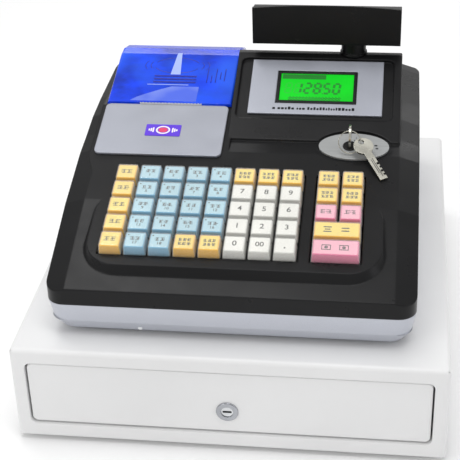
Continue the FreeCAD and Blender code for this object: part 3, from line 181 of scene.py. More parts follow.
def bare_metal(name, colour, rough):
    """Bare metal with fine scratches one way and a cloudy tone."""
    finish = Finish(name, colour, rough, Metallic=1.0)
    finish.soften(0.3)
    finish.relief(finish.noise(900, 3, (1, 0.06, 0.3)), 0.006)
    finish.gloss(finish.noise(70, 4), rough * 0.75, rough * 1.35)
    finish.shade(finish.noise(30, 5), 0.88, 1.1)
    return finish


def make_metals():
    """Painted, plated and bare metal, a darkened chrome on the drawer lock as painted reflection, and the brushed
    plate of the mode lock.
    """
    paint = Finish("case_paint", "ebebeb", 0.4, Coat_Weight=0.12, Coat_Roughness=0.25)
    paint.soften(0.9)
    paint.relief(paint.noise(620, 2), 0.02)
    paint.gloss(paint.noise(25, 4), 0.34, 0.5)
    paint.shade(paint.noise(9, 6), 0.97, 1.02)

    zinc = Finish("zinc_steel", "b4b8bb", 0.42, Metallic=0.9)
    zinc.soften(0.4)
    zinc.shade(zinc.cells(160), 0.82, 1.12, 0.1, 0.7)
    zinc.gloss(zinc.noise(90, 4), 0.3, 0.55)
    zinc.relief(zinc.noise(500, 3), 0.01)

    brushed = Finish("lock_plate", "aaacac", 0.42, Metallic=0.35)
    brushed.soften(0.5)
    brushed.relief(brushed.noise(2600, 2, (0.04, 1, 1)), 0.006)
    brushed.shade(brushed.noise(1500, 3, (0.03, 1, 1)), 0.9, 1.08)

    bare_metal("chrome", "d6d8da", 0.14)
    # the drawer lock's chrome made darker: a painted dark reflection on the lock's ring
    bare_metal("lock_chrome_painted_reflection", "acaeb3", 0.2)
    bare_metal("printer_metal", "9ea3a8", 0.34)
    bare_metal("spring_steel", "8c9094", 0.3)
    nickel = bare_metal("key_nickel", "c9c7bc", 0.27)
    nickel.relief(nickel.cells(420), 0.01)


def make_housing_finishes():
    """The black and silver mouldings, the base's silver lightened as painted light, the tray's plastic, rubber,
    and the circuit board.
    """
    for name, colour in (("black_plastic", "1a1a1b"), ("head_plastic", "060606")):
        black = Finish(name, colour, 0.3, Specular_IOR_Level=0.2)
        black.soften(2.0)
        black.relief(black.noise(2400, 2), 0.012)
        black.relief(black.noise(140, 3), 0.02)
        black.gloss(black.noise(38, 5), 0.26, 0.36)
        black.shade(black.noise(14, 5), 0.9, 1.12)

    # the base's silver is the plates' silver made lighter: painted light standing in for light bounced up onto the
    # base
    for name, colour in (("silver_plastic", "a6a9b3"), ("silver_base_painted_light", "c2c5ce")):
        silver = Finish(name, colour, 0.36, Metallic=0.35, Coat_Weight=0.25, Coat_Roughness=0.2)
        silver.soften(1.6)
        silver.shade(silver.cells(5200), 0.9, 1.1, 0.1, 0.7)
        silver.gloss(silver.noise(40, 4), 0.3, 0.42)
        silver.relief(silver.noise(1500, 2), 0.006)

    rubber = Finish("rubber", "242424", 0.75)
    rubber.soften(0.5)
    rubber.relief(rubber.noise(1200, 4), 0.05)
    rubber.shade(rubber.noise(60, 5), 0.8, 1.25)

    board = Finish("circuit_board", "1e6b35", 0.4, Coat_Weight=0.4)
    board.blend(board.cells(240), "0f4a22", 0.02, 0.3)
    board.relief(board.noise(700, 2), 0.05)

    moulded("tray_plastic", "2b2d30", 0.45, depth=0.02)


def make_paper_finishes():
    """Paper, and the ends of its roll, which show the turns as fine rings."""
    paper = Finish("paper", "f1f2f4", 0.8)
    paper.relief(paper.noise(1400, 5), 0.02)
    paper.shade(paper.noise(500, 6), 0.95, 1.03)

    turns = Finish("paper_roll_turns", "eceef0", 0.8)
    _, axis_y, axis_z = JOINTS["paper_roll_spin"]["pos_m"]
    off_axis = turns.add("VectorMath", {0: turns.place, 1: (0, axis_y, axis_z)}, operation="SUBTRACT")
    flat = turns.add("VectorMath", {0: off_axis.outputs[0], 1: (0, 1, 1)}, operation="MULTIPLY")
    reach = turns.add("VectorMath", {0: flat.outputs[0]}, operation="LENGTH").outputs["Value"]
    phase = turns.add("Math", {0: reach, 1: 9000.0}, operation="MULTIPLY").outputs[0]
    waves = turns.add("Math", {0: phase}, operation="SINE").outputs[0]
    turns.shade(waves, 0.82, 1.02, -1, 1)
    turns.relief(waves, 0.03)


def make_lid_finishes():
    """Clear blue plastic with cloudy depths, the marks on it, and a paler patch of painted highlight."""
    lid = Finish("clear_blue", "0848ff", 0.12, Alpha=0.9, Specular_IOR_Level=0.4, Coat_Weight=0.08,
                 Coat_Roughness=0.06)
    lid.soften(0.8)
    lid.relief(lid.noise(26, 3), 0.12)
    lid.gloss(lid.noise(50, 4), 0.08, 0.2)
    lid.blend(lid.noise(34, 5, (1, 1.6, 1)), "0634bc", 0.38, 0.66)
    lid.blend(lid.noise(16, 2), "2464ff", 0.48, 0.7)

    moulded("lid_mark", "0a1fa0", 0.3, edge=0.1)
    moulded("lid_pale", "a9bcff", 0.3, edge=0.1)
    # a see-through pale blue patch that stands in for light on the lid: painted highlight
    painted_highlight = moulded("lid_painted_highlight", "5f7dff", 0.15, edge=0.1, Alpha=0.75)
    painted_highlight.blend(painted_highlight.noise(26, 2), "8ea4ff", 0.4, 0.7)


def make_display_finishes():
    """The green screen with its three depths of figure, and the customer's red figures and window."""
    green = Finish("display_green", "00b418", 0.4, Specular_IOR_Level=0.2)
    patchy = green.remap(green.noise(36, 3), 0.72, 1.2)
    tint = green.add("VectorMath", {0: (0.0, 0.6, 0.012)}, operation="SCALE")
    green.links.new(patchy, tint.inputs["Scale"])
    green.links.new(tint.outputs[0], green.shader.inputs["Emission Color"])
    green.shader.inputs["Emission Strength"].default_value = 0.42
    green.relief(green.cells(3200), 0.01)
    for name, colour, strength in (("lcd_ghost", "02a41a", 0.32), ("lcd_digit", "02741a", 0.12),
                                   ("lcd_dense", "026412", 0.1)):
        moulded(name, colour, 0.3, edge=0.02).glow((0.0, 0.66, 0.012), strength)

    window = Finish("display_window", "1c0c0c", 0.08, Coat_Weight=0.6, Coat_Roughness=0.04)
    window.shade(window.noise(60, 4), 0.8, 1.3)
    window.relief(window.noise(20, 2), 0.05)
    digits = Finish("customer_digits", "e03020", 0.3)
    digits.shade(digits.noise(300, 2), 0.9, 1.1)
    digits.glow((0.95, 0.09, 0.03), 0.5)


def make_key_finishes():
    """Each key colour for its face and a darker, deeper copy of it for its sides, as painted shade; the ink; and
    the clear cap.
    """
    for name, face, side in (("key_white", "f2f1ef", "e2e1df"), ("key_yellow", "ffe05c", "f8c030"),
                             ("key_blue", "abd6e8", "7cb8da"), ("key_pink", "ffb4cc", "ea78a4")):
        moulded(name, face, 0.36, depth=0.008, edge=0.3, Coat_Weight=0.35, Coat_Roughness=0.12)
        # the side colour is a darker copy of the face colour: painted shade on each key's sides
        moulded(name + "_side", side, 0.4, depth=0.008, edge=0.3)
    moulded("legend_ink", "08090c", 0.6, edge=0.02, Specular_IOR_Level=0.2)

    # the cap mostly lets light through, with gloss at a slant
    clear = Finish("clear_cap", "f2f2ef", 0.06, Specular_IOR_Level=0.6)
    clear.soften(0.3)
    rim = clear.add("LayerWeight", {"Blend": 0.35})
    through = clear.add("BsdfTransparent", {"Color": (1.0, 1.0, 0.99, 1)})
    slant = clear.remap(rim.outputs["Facing"], 0.03, 0.55, 0, 1)
    part = clear.add("MixShader", {0: slant, 1: through.outputs[0], 2: clear.shader.outputs[0]})
    clear.links.new(part.outputs[0], clear.nodes["Material Output"].inputs["Surface"])
    clear.relief(clear.noise(300, 3), 0.02)


def make_mark_finishes():
    """The badge, the dial's ink, the painted shade of a milled groove and the front lamp's lens."""
    moulded("dial_ink", "26282b", 0.5, edge=0.02)
    # a flat dark colour that stands in for the shade inside the key's grooves: painted shade
    moulded("groove_painted_shade", "4a4843", 0.4, edge=0.02)
    moulded("badge_violet", "5a28d8", 0.3, edge=0.2, Coat_Weight=0.4)
    moulded("badge_pale", "f4ecf8", 0.3, edge=0.1, Coat_Weight=0.4)
    moulded("badge_red", "e2366a", 0.3, edge=0.1, Coat_Weight=0.4)
    moulded("lamp_lens", "f4f6f8", 0.15, edge=0.2, Coat_Weight=0.6)


make_metals()
make_housing_finishes()
make_paper_finishes()
make_lid_finishes()
make_display_finishes()
make_key_finishes()
make_mark_finishes()

NODE_FINISH = {
    "case_paint": ["drawer_case", "case_base_plate", "drawer_front"],
    "zinc_steel": ["case_rails", "drawer_runners", "drawer_box", "latch_lever"],
    "rubber": ["rubber_feet", "platen_roller"],
    # the drawer lock body takes the darkened chrome: painted reflection
    "lock_chrome_painted_reflection": ["drawer_lock_body"],
    "chrome": ["drawer_lock_plug", "case_screws", "clip_rod", "lid_hinge_pin"],
    "key_nickel": ["mode_key", "spare_key", "key_ring"],
    "tray_plastic": ["money_tray"],
    "spring_steel": ["bill_clip_1", "bill_clip_2", "bill_clip_3", "bill_clip_4", "eject_spring"],
    "printer_metal": ["release_solenoid", "printer_frame", "power_supply"],
    "silver_plastic": ["printer_panel", "display_bezel"],
    "silver_base_painted_light": ["base_housing"],
    "black_plastic": ["top_housing", "key_plate", "paper_spindle", "mode_lock_barrel", "power_inlet",
                      "lcd_module"],
    "head_plastic": ["display_pole", "customer_display_case"],
    "clear_blue": ["printer_lid"],
    "paper_roll_turns": ["paper_roll"],
    "display_window": ["customer_display_window"],
    "lock_plate": ["lock_plate"],
    "circuit_board": ["main_board"],
}


def dress_nodes():
    """Give every CAD node that stays its finish."""
    for finish, nodes in NODE_FINISH.items():
        for node in nodes:
            for material_slot in frame["nodes"][node].material_slots:
                material_slot.material = FINISHES[finish].material


# ------------------------------------------------------------- mesh helpers

def piece(name, bm, finishes, body, smooth=40, stands_for=()):
    """Turn a bmesh into a piece that rides on a body."""
    mesh = bpy.data.meshes.new(name)
    bmesh.ops.recalc_face_normals(bm, faces=bm.faces)
    bm.to_mesh(mesh)
    bm.free()
    for finish in finishes:
        mesh.materials.append(FINISHES[finish].material)
    thing = bpy.data.objects.new(name, mesh)
    SCENE.collection.objects.link(thing)
    mesh.shade_smooth()
    mesh.set_sharp_from_angle(angle=math.radians(smooth))
    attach(thing, body)
    if stands_for:
        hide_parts(*stands_for)


def loft(bm, rings, index=0, ends=True):
    """Skin a row of rings of points; the first and last are closed with a face."""
    rows = [[bm.verts.new(point) for point in ring] for ring in rings]
    made = []
    for low, high in zip(rows, rows[1:]):
        count = len(low)
        made += [bm.faces.new((low[i], low[(i + 1) % count], high[(i + 1) % count], high[i]))
                 for i in range(count)]
    if ends:
        made += [bm.faces.new(rows[0][::-1]), bm.faces.new(rows[-1])]
    for face in made:
        face.material_index = index
    return made


def rounded_ring(half_x, half_y, radius, level, middle=(0, 0)):
    """Points round a rectangle with round corners."""
    steps = 4
    radius = min(radius, half_x * 0.99, half_y * 0.99)
    points = []
    for quarter, (sx, sy) in enumerate(((1, 1), (-1, 1), (-1, -1), (1, -1))):
        for step in range(steps + 1):
            angle = math.pi / 2 * (quarter + step / steps)
            points.append(Vector((middle[0] + sx * (half_x - radius) + radius * math.cos(angle),
                                  middle[1] + sy * (half_y - radius) + radius * math.sin(angle), level)))
    return points


def tablet(bm, middle, half_x, half_y, radius, low, high, index=0, rim=0.0):
    """A flat plate with round corners; a rim eases its top edge."""
    rings = [rounded_ring(half_x, half_y, radius, low, middle),
             rounded_ring(half_x, half_y, radius, high - rim, middle)]
    if rim:
        rings.append(rounded_ring(half_x - rim, half_y - rim, radius - rim, high, middle))
    loft(bm, rings, index)


def band(bm, points, width, low, high, index=0, closed=False):
    """A flat line of some width along points in a plane."""
    rings = []
    count = len(points)
    for i, point in enumerate(points):
        before = points[(i - 1) % count] if closed or i else point
        after = points[(i + 1) % count] if closed or i < count - 1 else point
        run = Vector((after[0] - before[0], after[1] - before[1])).normalized()
        side = Vector((-run.y, run.x)) * width / 2
        rings.append([Vector((point[0] + side.x, point[1] + side.y, low)),
                      Vector((point[0] - side.x, point[1] - side.y, low)),
                      Vector((point[0] - side.x, point[1] - side.y, high)),
                      Vector((point[0] + side.x, point[1] + side.y, high))])
    if closed:
        rings.append(rings[0])
    loft(bm, rings, index, ends=not closed)


def arc(middle, radius_x, radius_y, start, end, count):
    """Points along part of an ellipse, angles in degrees."""
    return [(middle[0] + radius_x * math.cos(math.radians(start + (end - start) * i / count)),
             middle[1] + radius_y * math.sin(math.radians(start + (end - start) * i / count)))
            for i in range(count + 1)]


def add_text(bm, words, size, middle, low, thick, index=0):
    """Figures lying flat, centred on a point."""
    curve = bpy.data.curves.new("figures", "FONT")
    curve.body = words
    curve.size = size
    curve.align_x = "CENTER"
    curve.align_y = "CENTER"
    curve.extrude = thick / 2
    curve.offset = size * 0.012
    carrier = bpy.data.objects.new("figures", curve)
    SCENE.collection.objects.link(carrier)
    mesh = bpy.data.meshes.new_from_object(carrier.evaluated_get(bpy.context.evaluated_depsgraph_get()))
    mesh.transform(Matrix.Translation((middle[0], middle[1], low + thick / 2)))
    bpy.data.objects.remove(carrier)
    before = len(bm.faces)
    bm.from_mesh(mesh)
    bm.faces.ensure_lookup_table()
    for face in bm.faces[before:]:
        face.material_index = index
    bpy.data.meshes.remove(mesh)


def move(bm, matrix, start=0):
    """Move the vertices made since a count."""
    bm.verts.ensure_lookup_table()
    bmesh.ops.transform(bm, matrix=matrix, verts=bm.verts[start:])


class Slope:
    """Axes of a node's largest face that looks a given way: across it, along it and off it."""

    def __init__(self, node, towards=(0, 0, 1)):
        towards = Vector(towards)
        mesh = frame["nodes"][node].data
        sizes = {}
        for face in mesh.polygons:
            if face.normal.dot(towards) > 0.3:
                key = tuple(round(c, 2) for c in face.normal)
                area, total = sizes.get(key, (0, Vector()))
                sizes[key] = (area + face.area, total + face.normal * face.area)
        self.up = max(sizes.values(), key=lambda entry: entry[0])[1].normalized()
        self.across = Vector((1, 0, 0)) if abs(self.up.x) < 0.3 else Vector((0, 1, 0))
        if towards.y > 0.5:
            self.across = Vector((-1, 0, 0))
        self.along = self.up.cross(self.across).normalized()
        self.matrix = Matrix((self.across, self.along, self.up)).transposed().to_4x4()
        self.back = self.matrix.inverted()

    def span(self, points):
        """Lowest and highest corners of points, or of a node, in the slope's own axes."""
        if isinstance(points, str):
            points = [v.co for v in frame["nodes"][points].data.vertices]
        local = [self.back @ p for p in points]
        return (Vector([min(p[i] for p in local) for i in range(3)]),
                Vector([max(p[i] for p in local) for i in range(3)]))


def islands(node):
    """The points of each separate solid of a CAD node."""
    bm = bmesh.new()
    bm.from_mesh(frame["nodes"][node].data)
    bmesh.ops.remove_doubles(bm, verts=bm.verts, dist=1e-6)
    left = set(bm.verts)
    groups = []
    while left:
        stack = [left.pop()]
        group = []
        while stack:
            vert = stack.pop()
            group.append(vert.co.copy())
            for edge in vert.link_edges:
                other = edge.other_vert(vert)
                if other in left:
                    left.remove(other)
                    stack.append(other)
        groups.append(group)
    bm.free()
    return groups


def surface_point(node, start, towards):
    """Where a straight line first meets a CAD node."""
    hit, spot, _, _ = frame["nodes"][node].ray_cast(Vector(start), Vector(towards).normalized())
    if not hit:
        raise ValueError("no surface on %s from %s" % (node, start))
    return spot


# --------------------------------------------------------------------- keys

PRESS = Vector(JOINTS["key_5_press"]["axis"]).normalized()
PANEL = Matrix((Vector((1, 0, 0)), PRESS.cross(Vector((1, 0, 0))) * -1, -PRESS)).transposed().to_4x4()
CAP_DEPTH = 10 * MM
INK = 0.04 * MM
DIGITS = {"key_0": "0", "key_00": "00", "key_point": ".", "key_1": "1", "key_2": "2", "key_3": "3",
          "key_4": "4", "key_5": "5", "key_6": "6", "key_7": "7", "key_8": "8", "key_9": "9"}
DIGIT_SIZE = {".": 11 * MM, "00": 7 * MM}
PLAIN_DIGIT_SIZE = 7.6 * MM
KEY_FINISH = {"cash_key": "key_pink", "subtotal_key": "key_yellow", "pink_keys": "key_pink",
              "yellow_keys_right": "key_yellow", "yellow_keys_left": "key_yellow", "blue_keys": "key_blue"}
LEGENDS = {**DIGITS, "cash_key": "note", "subtotal_key": "sum", "pink_keys": "one_line",
           "yellow_keys_right": "two_rows"}
# x that parts the leftmost column of yellow keys from the next
SECOND_COLUMN = -100 * MM
# where the blocks of strokes sit on a face, across and up it, and how large each is, in millimetres
LEGEND_BLOCKS = {"two_lines": ((-2.2, 2.2), (1.6,), 3.7), "one_line": ((-2.6, 2.6), (0.2,), 4.6),
                 "two_rows": ((-3.5, 0, 3.5), (2.2, -2.2), 3.0)}


def cap_rings(bottom_x, bottom_y, top_x, top_y, inset, top_drop, corner):
    """Rings of a flared cap, foot to top, drawn in from the outer shape by an inset."""
    def half(bottom, top, drop):
        return top + (bottom - top) * drop / CAP_DEPTH - inset
    rings = []
    for drop, pull in ((CAP_DEPTH - 0.6 * MM, 0),
                       (top_drop + 0.9 * MM, 0),
                       (top_drop + 0.35 * MM, 0.12 * MM),
                       (top_drop + 0.08 * MM, 0.4 * MM),
                       (top_drop, 0.9 * MM)):
        rings.append(rounded_ring(half(bottom_x, top_x, drop) - pull, half(bottom_y, top_y, drop) - pull,
                                  corner, -drop))
    return rings


def ink_line(bm, points, width, level, closed=False):
    """A printed line on a keycap's face."""
    band(bm, points, width, level, level + INK, 2, closed)


def stroke_block(bm, x, y, size, level):
    """Three short level strokes of uneven length, crossed by an upright one."""
    width = 0.62 * MM
    for row in (0, 0.5, 1):
        reach = size * random.uniform(0.32, 0.5)
        lean = random.uniform(-0.12, 0.12) * size
        height = y + (row - 0.5) * size * 0.8
        ink_line(bm, [(x + lean - reach, height), (x + lean + reach, height)], width, level)
    post = x + random.uniform(-0.25, 0.25) * size
    ink_line(bm, [(post, y - size * 0.45), (post, y + size * 0.45)], width, level)


def abstract_legend(bm, kind, level):
    """Blocks of short strokes in place of a key's words."""
    columns, rows, size = LEGEND_BLOCKS[kind]
    for y in rows:
        for x in columns:
            stroke_block(bm, x * MM, y * MM, size * MM, level)


def numbered_legend(bm, number, level):
    """A blue key's strokes, with its number below them and a dot at its corner."""
    abstract_legend(bm, "two_lines", level)
    add_text(bm, number, 4.2 * MM, (0, -3.0 * MM), level, INK, 2)
    tablet(bm, (-5.8 * MM, 5.4 * MM), 0.6 * MM, 0.6 * MM, 0.5 * MM, level, level + INK, 2)


def note_icon(bm, level):
    """Two banknote outlines, each with a disc, for the wide pink key."""
    half_x, half_y = 3.4 * MM, 2.4 * MM
    for x in (-7.5 * MM, 6.5 * MM):
        corners = [(x - half_x, -half_y), (x + half_x, -half_y), (x + half_x, half_y), (x - half_x, half_y)]
        ink_line(bm, corners, 1.0 * MM, level, closed=True)
        ink_line(bm, arc((x, 0), 0.9 * MM, 0.9 * MM, 0, 360, 16)[:-1], 1.1 * MM, level, closed=True)


def sum_icon(bm, level):
    """Three bars beside a pair of equals bars, for the wide yellow key."""
    middle = -7.5 * MM
    for y, reach in ((2.5 * MM, 3.2 * MM), (0, 2.2 * MM), (-2.5 * MM, 3.2 * MM)):
        ink_line(bm, [(middle - reach, y), (middle + reach, y)], 1.1 * MM, level)
    for y in (1.6 * MM, -1.6 * MM):
        ink_line(bm, [(3.6 * MM, y), (9.8 * MM, y)], 1.2 * MM, level)


def draw_legend(bm, legend, level):
    """What a key shows, on its face."""
    if legend in DIGITS.values():
        add_text(bm, legend, DIGIT_SIZE.get(legend, PLAIN_DIGIT_SIZE), (0, 0.2 * MM), level, INK, 2)
    elif legend == "note":
        note_icon(bm, level)
    elif legend == "sum":
        sum_icon(bm, level)
    elif legend.startswith("blue"):
        numbered_legend(bm, legend[4:], level)
    else:
        abstract_legend(bm, legend, level)


def build_key(bm, shell, points, legend):
    """One keycap: a coloured core with its legend, a square stem, and a clear flared cap over it."""
    local = [PANEL.inverted() @ p for p in points]
    top = max(p.z for p in local)
    crown = [p for p in local if p.z > top - 0.02 * MM]
    foot = [p for p in local if abs(p.z - (top - CAP_DEPTH)) < 0.2 * MM] or local
    middle = [(max(p[i] for p in crown) + min(p[i] for p in crown)) / 2 for i in (0, 1)]
    top_half = [(max(p[i] for p in crown) - min(p[i] for p in crown)) / 2 + 0.8 * MM for i in (0, 1)]
    foot_half = [(max(p[i] for p in foot) - min(p[i] for p in foot)) / 2 for i in (0, 1)]
    start, shell_start = len(bm.verts), len(shell.verts)

    face_drop = 0.7 * MM
    # the core's sides and the stem take the darker side colour, painted shade (slot 1); only its top face keeps
    # the face colour
    faces = loft(bm, cap_rings(*foot_half, *top_half, 0.62 * MM, face_drop, 1.1 * MM), 1)
    faces[-1].material_index = 0
    stem = 3 * MM
    stem_foot = min(p.z for p in local) - top
    loft(bm, [rounded_ring(stem, stem, 0.4 * MM, level) for level in (stem_foot, -9.3 * MM)], 1)
    draw_legend(bm, legend, 0.01 * MM - face_drop)

    # the clear cap: inside first, then over its foot to the outside
    wall = 0.45 * MM
    corner = 1.5 * MM
    outer = cap_rings(*foot_half, *top_half, 0.0, 0.0, corner)
    skirt = rounded_ring(*foot_half, corner, -9.4 * MM)
    inner = cap_rings(*foot_half, *top_half, wall, wall, 1.1 * MM)
    dish = rounded_ring(top_half[0] - 2.6 * MM, top_half[1] - 2.6 * MM, 1.6 * MM, -0.22 * MM)
    loft(shell, inner[::-1] + [skirt] + outer + [dish])

    place = PANEL @ Matrix.Translation((*middle, top))
    move(bm, place, start)
    move(shell, place, shell_start)


def legend_of(node, points, number):
    """A key's legend: blue keys are numbered, and yellow ones in the leftmost column have one line."""
    if node == "blue_keys":
        return "blue%d" % number
    if node == "yellow_keys_left":
        return "one_line" if min(p.x for p in points) < SECOND_COLUMN else "two_rows"
    return LEGENDS[node]


def make_keys():
    """A coloured piece and a clear piece for each key node, riding on the node's own body."""
    for body, nodes in frame["record"]["behaviour"]["bodies"].items():
        node = nodes[0]
        if node not in DIGITS and node not in KEY_FINISH:
            continue
        finish = KEY_FINISH.get(node, "key_white")
        bm, shell = bmesh.new(), bmesh.new()
        # from the back row to the front, and from the left in each row
        groups = sorted(islands(node), key=lambda g: (-round(max(p.z for p in g), 3), min(p.x for p in g)))
        for number, points in enumerate(groups, 1):
            build_key(bm, shell, points, legend_of(node, points, number))
        piece(node + "_caps", bm, [finish, finish + "_side", "legend_ink"], body, 35, [node])
        piece(node + "_clear", shell, ["clear_cap"], body, 35)


# ----------------------------------------------------------------- displays

SEGMENTS = {"0": "abcdef", "1": "bc", "2": "abged", "3": "abgcd", "4": "fgbc", "5": "afgcd", "6": "afgedc",
            "7": "abc", "8": "abcdefg", "9": "abcdfg"}
SLANT = 0.12


def segment_figure(bm, symbols, middle, width, height, stroke, low, thick, index):
    """A seven-segment figure made of short bars with a slight slant."""
    w, h = width / 2, height / 2
    ends = {"a": ((-w, h), (w, h)), "b": ((w, h), (w, 0)), "c": ((w, 0), (w, -h)), "d": ((-w, -h), (w, -h)),
            "e": ((-w, 0), (-w, -h)), "f": ((-w, h), (-w, 0)), "g": ((-w, 0), (w, 0))}
    gap = stroke * 0.36
    for symbol in symbols:
        (x0, y0), (x1, y1) = ends[symbol]
        run = Vector((x1 - x0, y1 - y0)).normalized()
        start = Vector((x0, y0)) + run * gap
        end = Vector((x1, y1)) - run * gap
        points = [(middle[0] + p.x + p.y * SLANT, middle[1] + p.y) for p in (start, end)]
        band(bm, points, stroke, low, low + thick, index)


def amount_line(bm, left, y, figure):
    """The screen's large figures, each over the faint ghost of all seven segments."""
    width, height, step = 5.2 * MM, 12.0 * MM, 8.6 * MM
    spot = left
    for symbol in " 128.50":
        if symbol == ".":
            tablet(bm, (spot - 3.6 * MM, y - 6.2 * MM), 0.6 * MM, 0.6 * MM, 0.5 * MM, figure,
                   figure + 0.03 * MM, 2)
            continue
        segment_figure(bm, "abcdefg", (spot, y), width, height, 1.5 * MM, figure, 0.02 * MM, 1)
        if symbol != " ":
            segment_figure(bm, SEGMENTS[symbol], (spot, y), width, height, 2.2 * MM, figure, 0.03 * MM, 2)
        spot += step


def make_operator_display():
    """Green screen with dark figures in the module's black frame."""
    slope = Slope("display_bezel")
    low, high = slope.span("lcd_module")
    middle = ((low.x + high.x) / 2, (low.y + high.y) / 2)
    edge = 1.5 * MM
    half_x, half_y = (high.x - low.x) / 2 - edge, (high.y - low.y) / 2 - edge
    left = middle[0] - half_x
    level = high.z - 0.75 * MM
    figure = level + 0.02 * MM
    bm = bmesh.new()
    tablet(bm, middle, half_x, half_y, 0.6 * MM, level - 0.5 * MM, level, 0, 0.15 * MM)

    # upper line: a dense row of small figures on a dark block, over the left part of the screen
    line = middle[1] + half_y - 5.2 * MM
    tablet(bm, (left + 22.4 * MM, line), 19.6 * MM, 2.9 * MM, 0.3 * MM, figure - 0.01 * MM,
           figure + 0.01 * MM, 2)
    for i in range(14):
        spot = (left + (4.6 + i * 2.75) * MM, line)
        segment_figure(bm, "abcdefg", spot, 1.75 * MM, 4.4 * MM, 1.1 * MM, figure, 0.03 * MM, 3)

    amount_line(bm, left + 9 * MM, middle[1] - 1.0 * MM, figure)

    # lowest line: a row of small dark figures
    line = middle[1] - half_y + 4.2 * MM
    for i in range(16):
        spot = (left + (11 + i * 2.9) * MM, line)
        segment_figure(bm, "abcdefg", spot, 1.8 * MM, 4.2 * MM, 1.2 * MM, figure, 0.02 * MM, 2)
    move(bm, slope.matrix)
    piece("lcd_screen", bm, ["display_green", "lcd_ghost", "lcd_digit", "lcd_dense"], "register")


def make_plate_strokes():
    """An uneven row of short dashes on the plate below the screen."""
    slope = Slope("display_bezel")
    screen_low, screen_high = slope.span("lcd_module")
    plate_low, plate_high = slope.span("display_bezel")
    bm = bmesh.new()
    level = plate_high.z + 0.01 * MM
    row = (plate_low.y + screen_low.y) / 2 - 0.2 * MM
    x = screen_low.x - 2 * MM
    while x < screen_high.x + 1 * MM:
        reach = random.choice((1.4, 1.9, 2.4)) * MM
        rise = random.choice((1.2, 1.2, 1.7)) * MM
        spot = (x + reach / 2, row + rise - 1.2 * MM)
        tablet(bm, spot, reach / 2, rise, 0.5 * MM, level, level + 0.05 * MM)
        x += reach + random.choice((0.8, 0.8, 2.2)) * MM
    move(bm, slope.matrix)
    piece("plate_strokes", bm, ["legend_ink"], "register")


def make_customer_display():
    """Glowing figures on the face of the head's window, on the customer's side."""
    slope = Slope("customer_display_window", (0, 1, 0))
    low, high = slope.span("customer_display_window")
    middle = ((low.x + high.x) / 2, (low.y + high.y) / 2)
    thick = 0.05 * MM
    spot = middle[0] - 42 * MM
    bm = bmesh.new()
    for symbol in "  128.50":
        if symbol == ".":
            point = (spot - 6 * MM, middle[1] - 5.4 * MM)
            tablet(bm, point, 0.7 * MM, 0.7 * MM, 0.6 * MM, high.z, high.z + thick)
            continue
        if symbol != " ":
            point = (spot, middle[1])
            segment_figure(bm, SEGMENTS[symbol], point, 5.6 * MM, 10.5 * MM, 1.1 * MM, high.z, thick, 0)
        spot += 13.5 * MM
    move(bm, slope.matrix)
    piece("customer_figures", bm, ["customer_digits"], "display_head")


# ------------------------------------------------------------------ printer

def on_lid(point, lift):
    """A point of a plan drawing put on the lid's top, raised by some millimetres."""
    spot = surface_point("printer_lid", (point[0], point[1], CAD_BOX[1][2] + 0.1), (0, 0, -1))
    return Vector((point[0], point[1], spot.z + lift * MM))


def lid_spot(across, share):
    """A point of the lid: millimetres from its middle, and its share of the way from front to back."""
    low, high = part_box("printer_lid")
    return ((low.x + high.x) / 2 + across * MM, low.y + (high.y - low.y) * share)


def straight(start, end):
    """Points along a straight line, close enough to follow the lid's curve."""
    count = 8
    return [(start[0] + (end[0] - start[0]) * i / count, start[1] + (end[1] - start[1]) * i / count)
            for i in range(count + 1)]


def lid_line(bm, points, width, thick=0.12):
    """A line of paint or a low rib that follows the lid's curve; its sides lean in a little."""
    rings = []
    for i, point in enumerate(points):
        before, after = points[max(i - 1, 0)], points[min(i + 1, len(points) - 1)]
        run = Vector((after[0] - before[0], after[1] - before[1])).normalized()
        side = Vector((-run.y, run.x)) * width * MM / 2
        left = on_lid((point[0] + side.x, point[1] + side.y), 0.02)
        right = on_lid((point[0] - side.x, point[1] - side.y), 0.02)
        up = Vector((0, 0, thick * MM))
        lean = (right - left) * 0.15
        rings.append([left, right, right + up - lean, left + up + lean])
    loft(bm, rings)


def make_lid_ribs():
    """Finger ribs near the front, an open ring with two brackets at each side, and bars at the right."""
    bm = bmesh.new()
    for share in (0.235, 0.27, 0.305):
        lid_line(bm, straight(lid_spot(-19, share), lid_spot(20, share)), 1.9, 0.5)
    centre = lid_spot(0, 0.435)
    lid_line(bm, arc(centre, 21 * MM, 11 * MM, 22, 158, 20), 0.8)
    lid_line(bm, arc(centre, 21 * MM, 11 * MM, 202, 338, 20), 0.8)
    for side in (-1, 1):
        for reach in (25, 30):
            bracket = [(centre[0] + side * (reach * math.cos(a / 10)) * MM,
                        centre[1] + reach * 0.5 * math.sin(a / 10) * MM) for a in range(-4, 5)]
            lid_line(bm, bracket, 0.7)
    for across, near, far in ((30, 0.24, 0.4), (34, 0.24, 0.32), (38, 0.24, 0.4), (42, 0.28, 0.36),
                              (46, 0.26, 0.4)):
        lid_line(bm, straight(lid_spot(across, near), lid_spot(across, far)), 0.9, 0.3)
    piece("lid_ribs", bm, ["lid_mark"], "lid")


def make_lid_pointer():
    """A pale pointer that narrows towards the back, and a thin line in front of the ribs."""
    bm = bmesh.new()
    rings = []
    for step in range(11):
        x, y = lid_spot(0, 0.325 + 0.026 * step)
        reach = (4.6 - 0.26 * step) * MM
        rings.append([on_lid((x - reach, y), 0.03), on_lid((x + reach, y), 0.03),
                      on_lid((x + reach, y), 0.3), on_lid((x - reach, y), 0.3)])
    loft(bm, rings)
    lid_line(bm, straight(lid_spot(-24, 0.205), lid_spot(14, 0.205)), 0.8, 0.15)
    piece("lid_pointer", bm, ["lid_pale"], "lid")


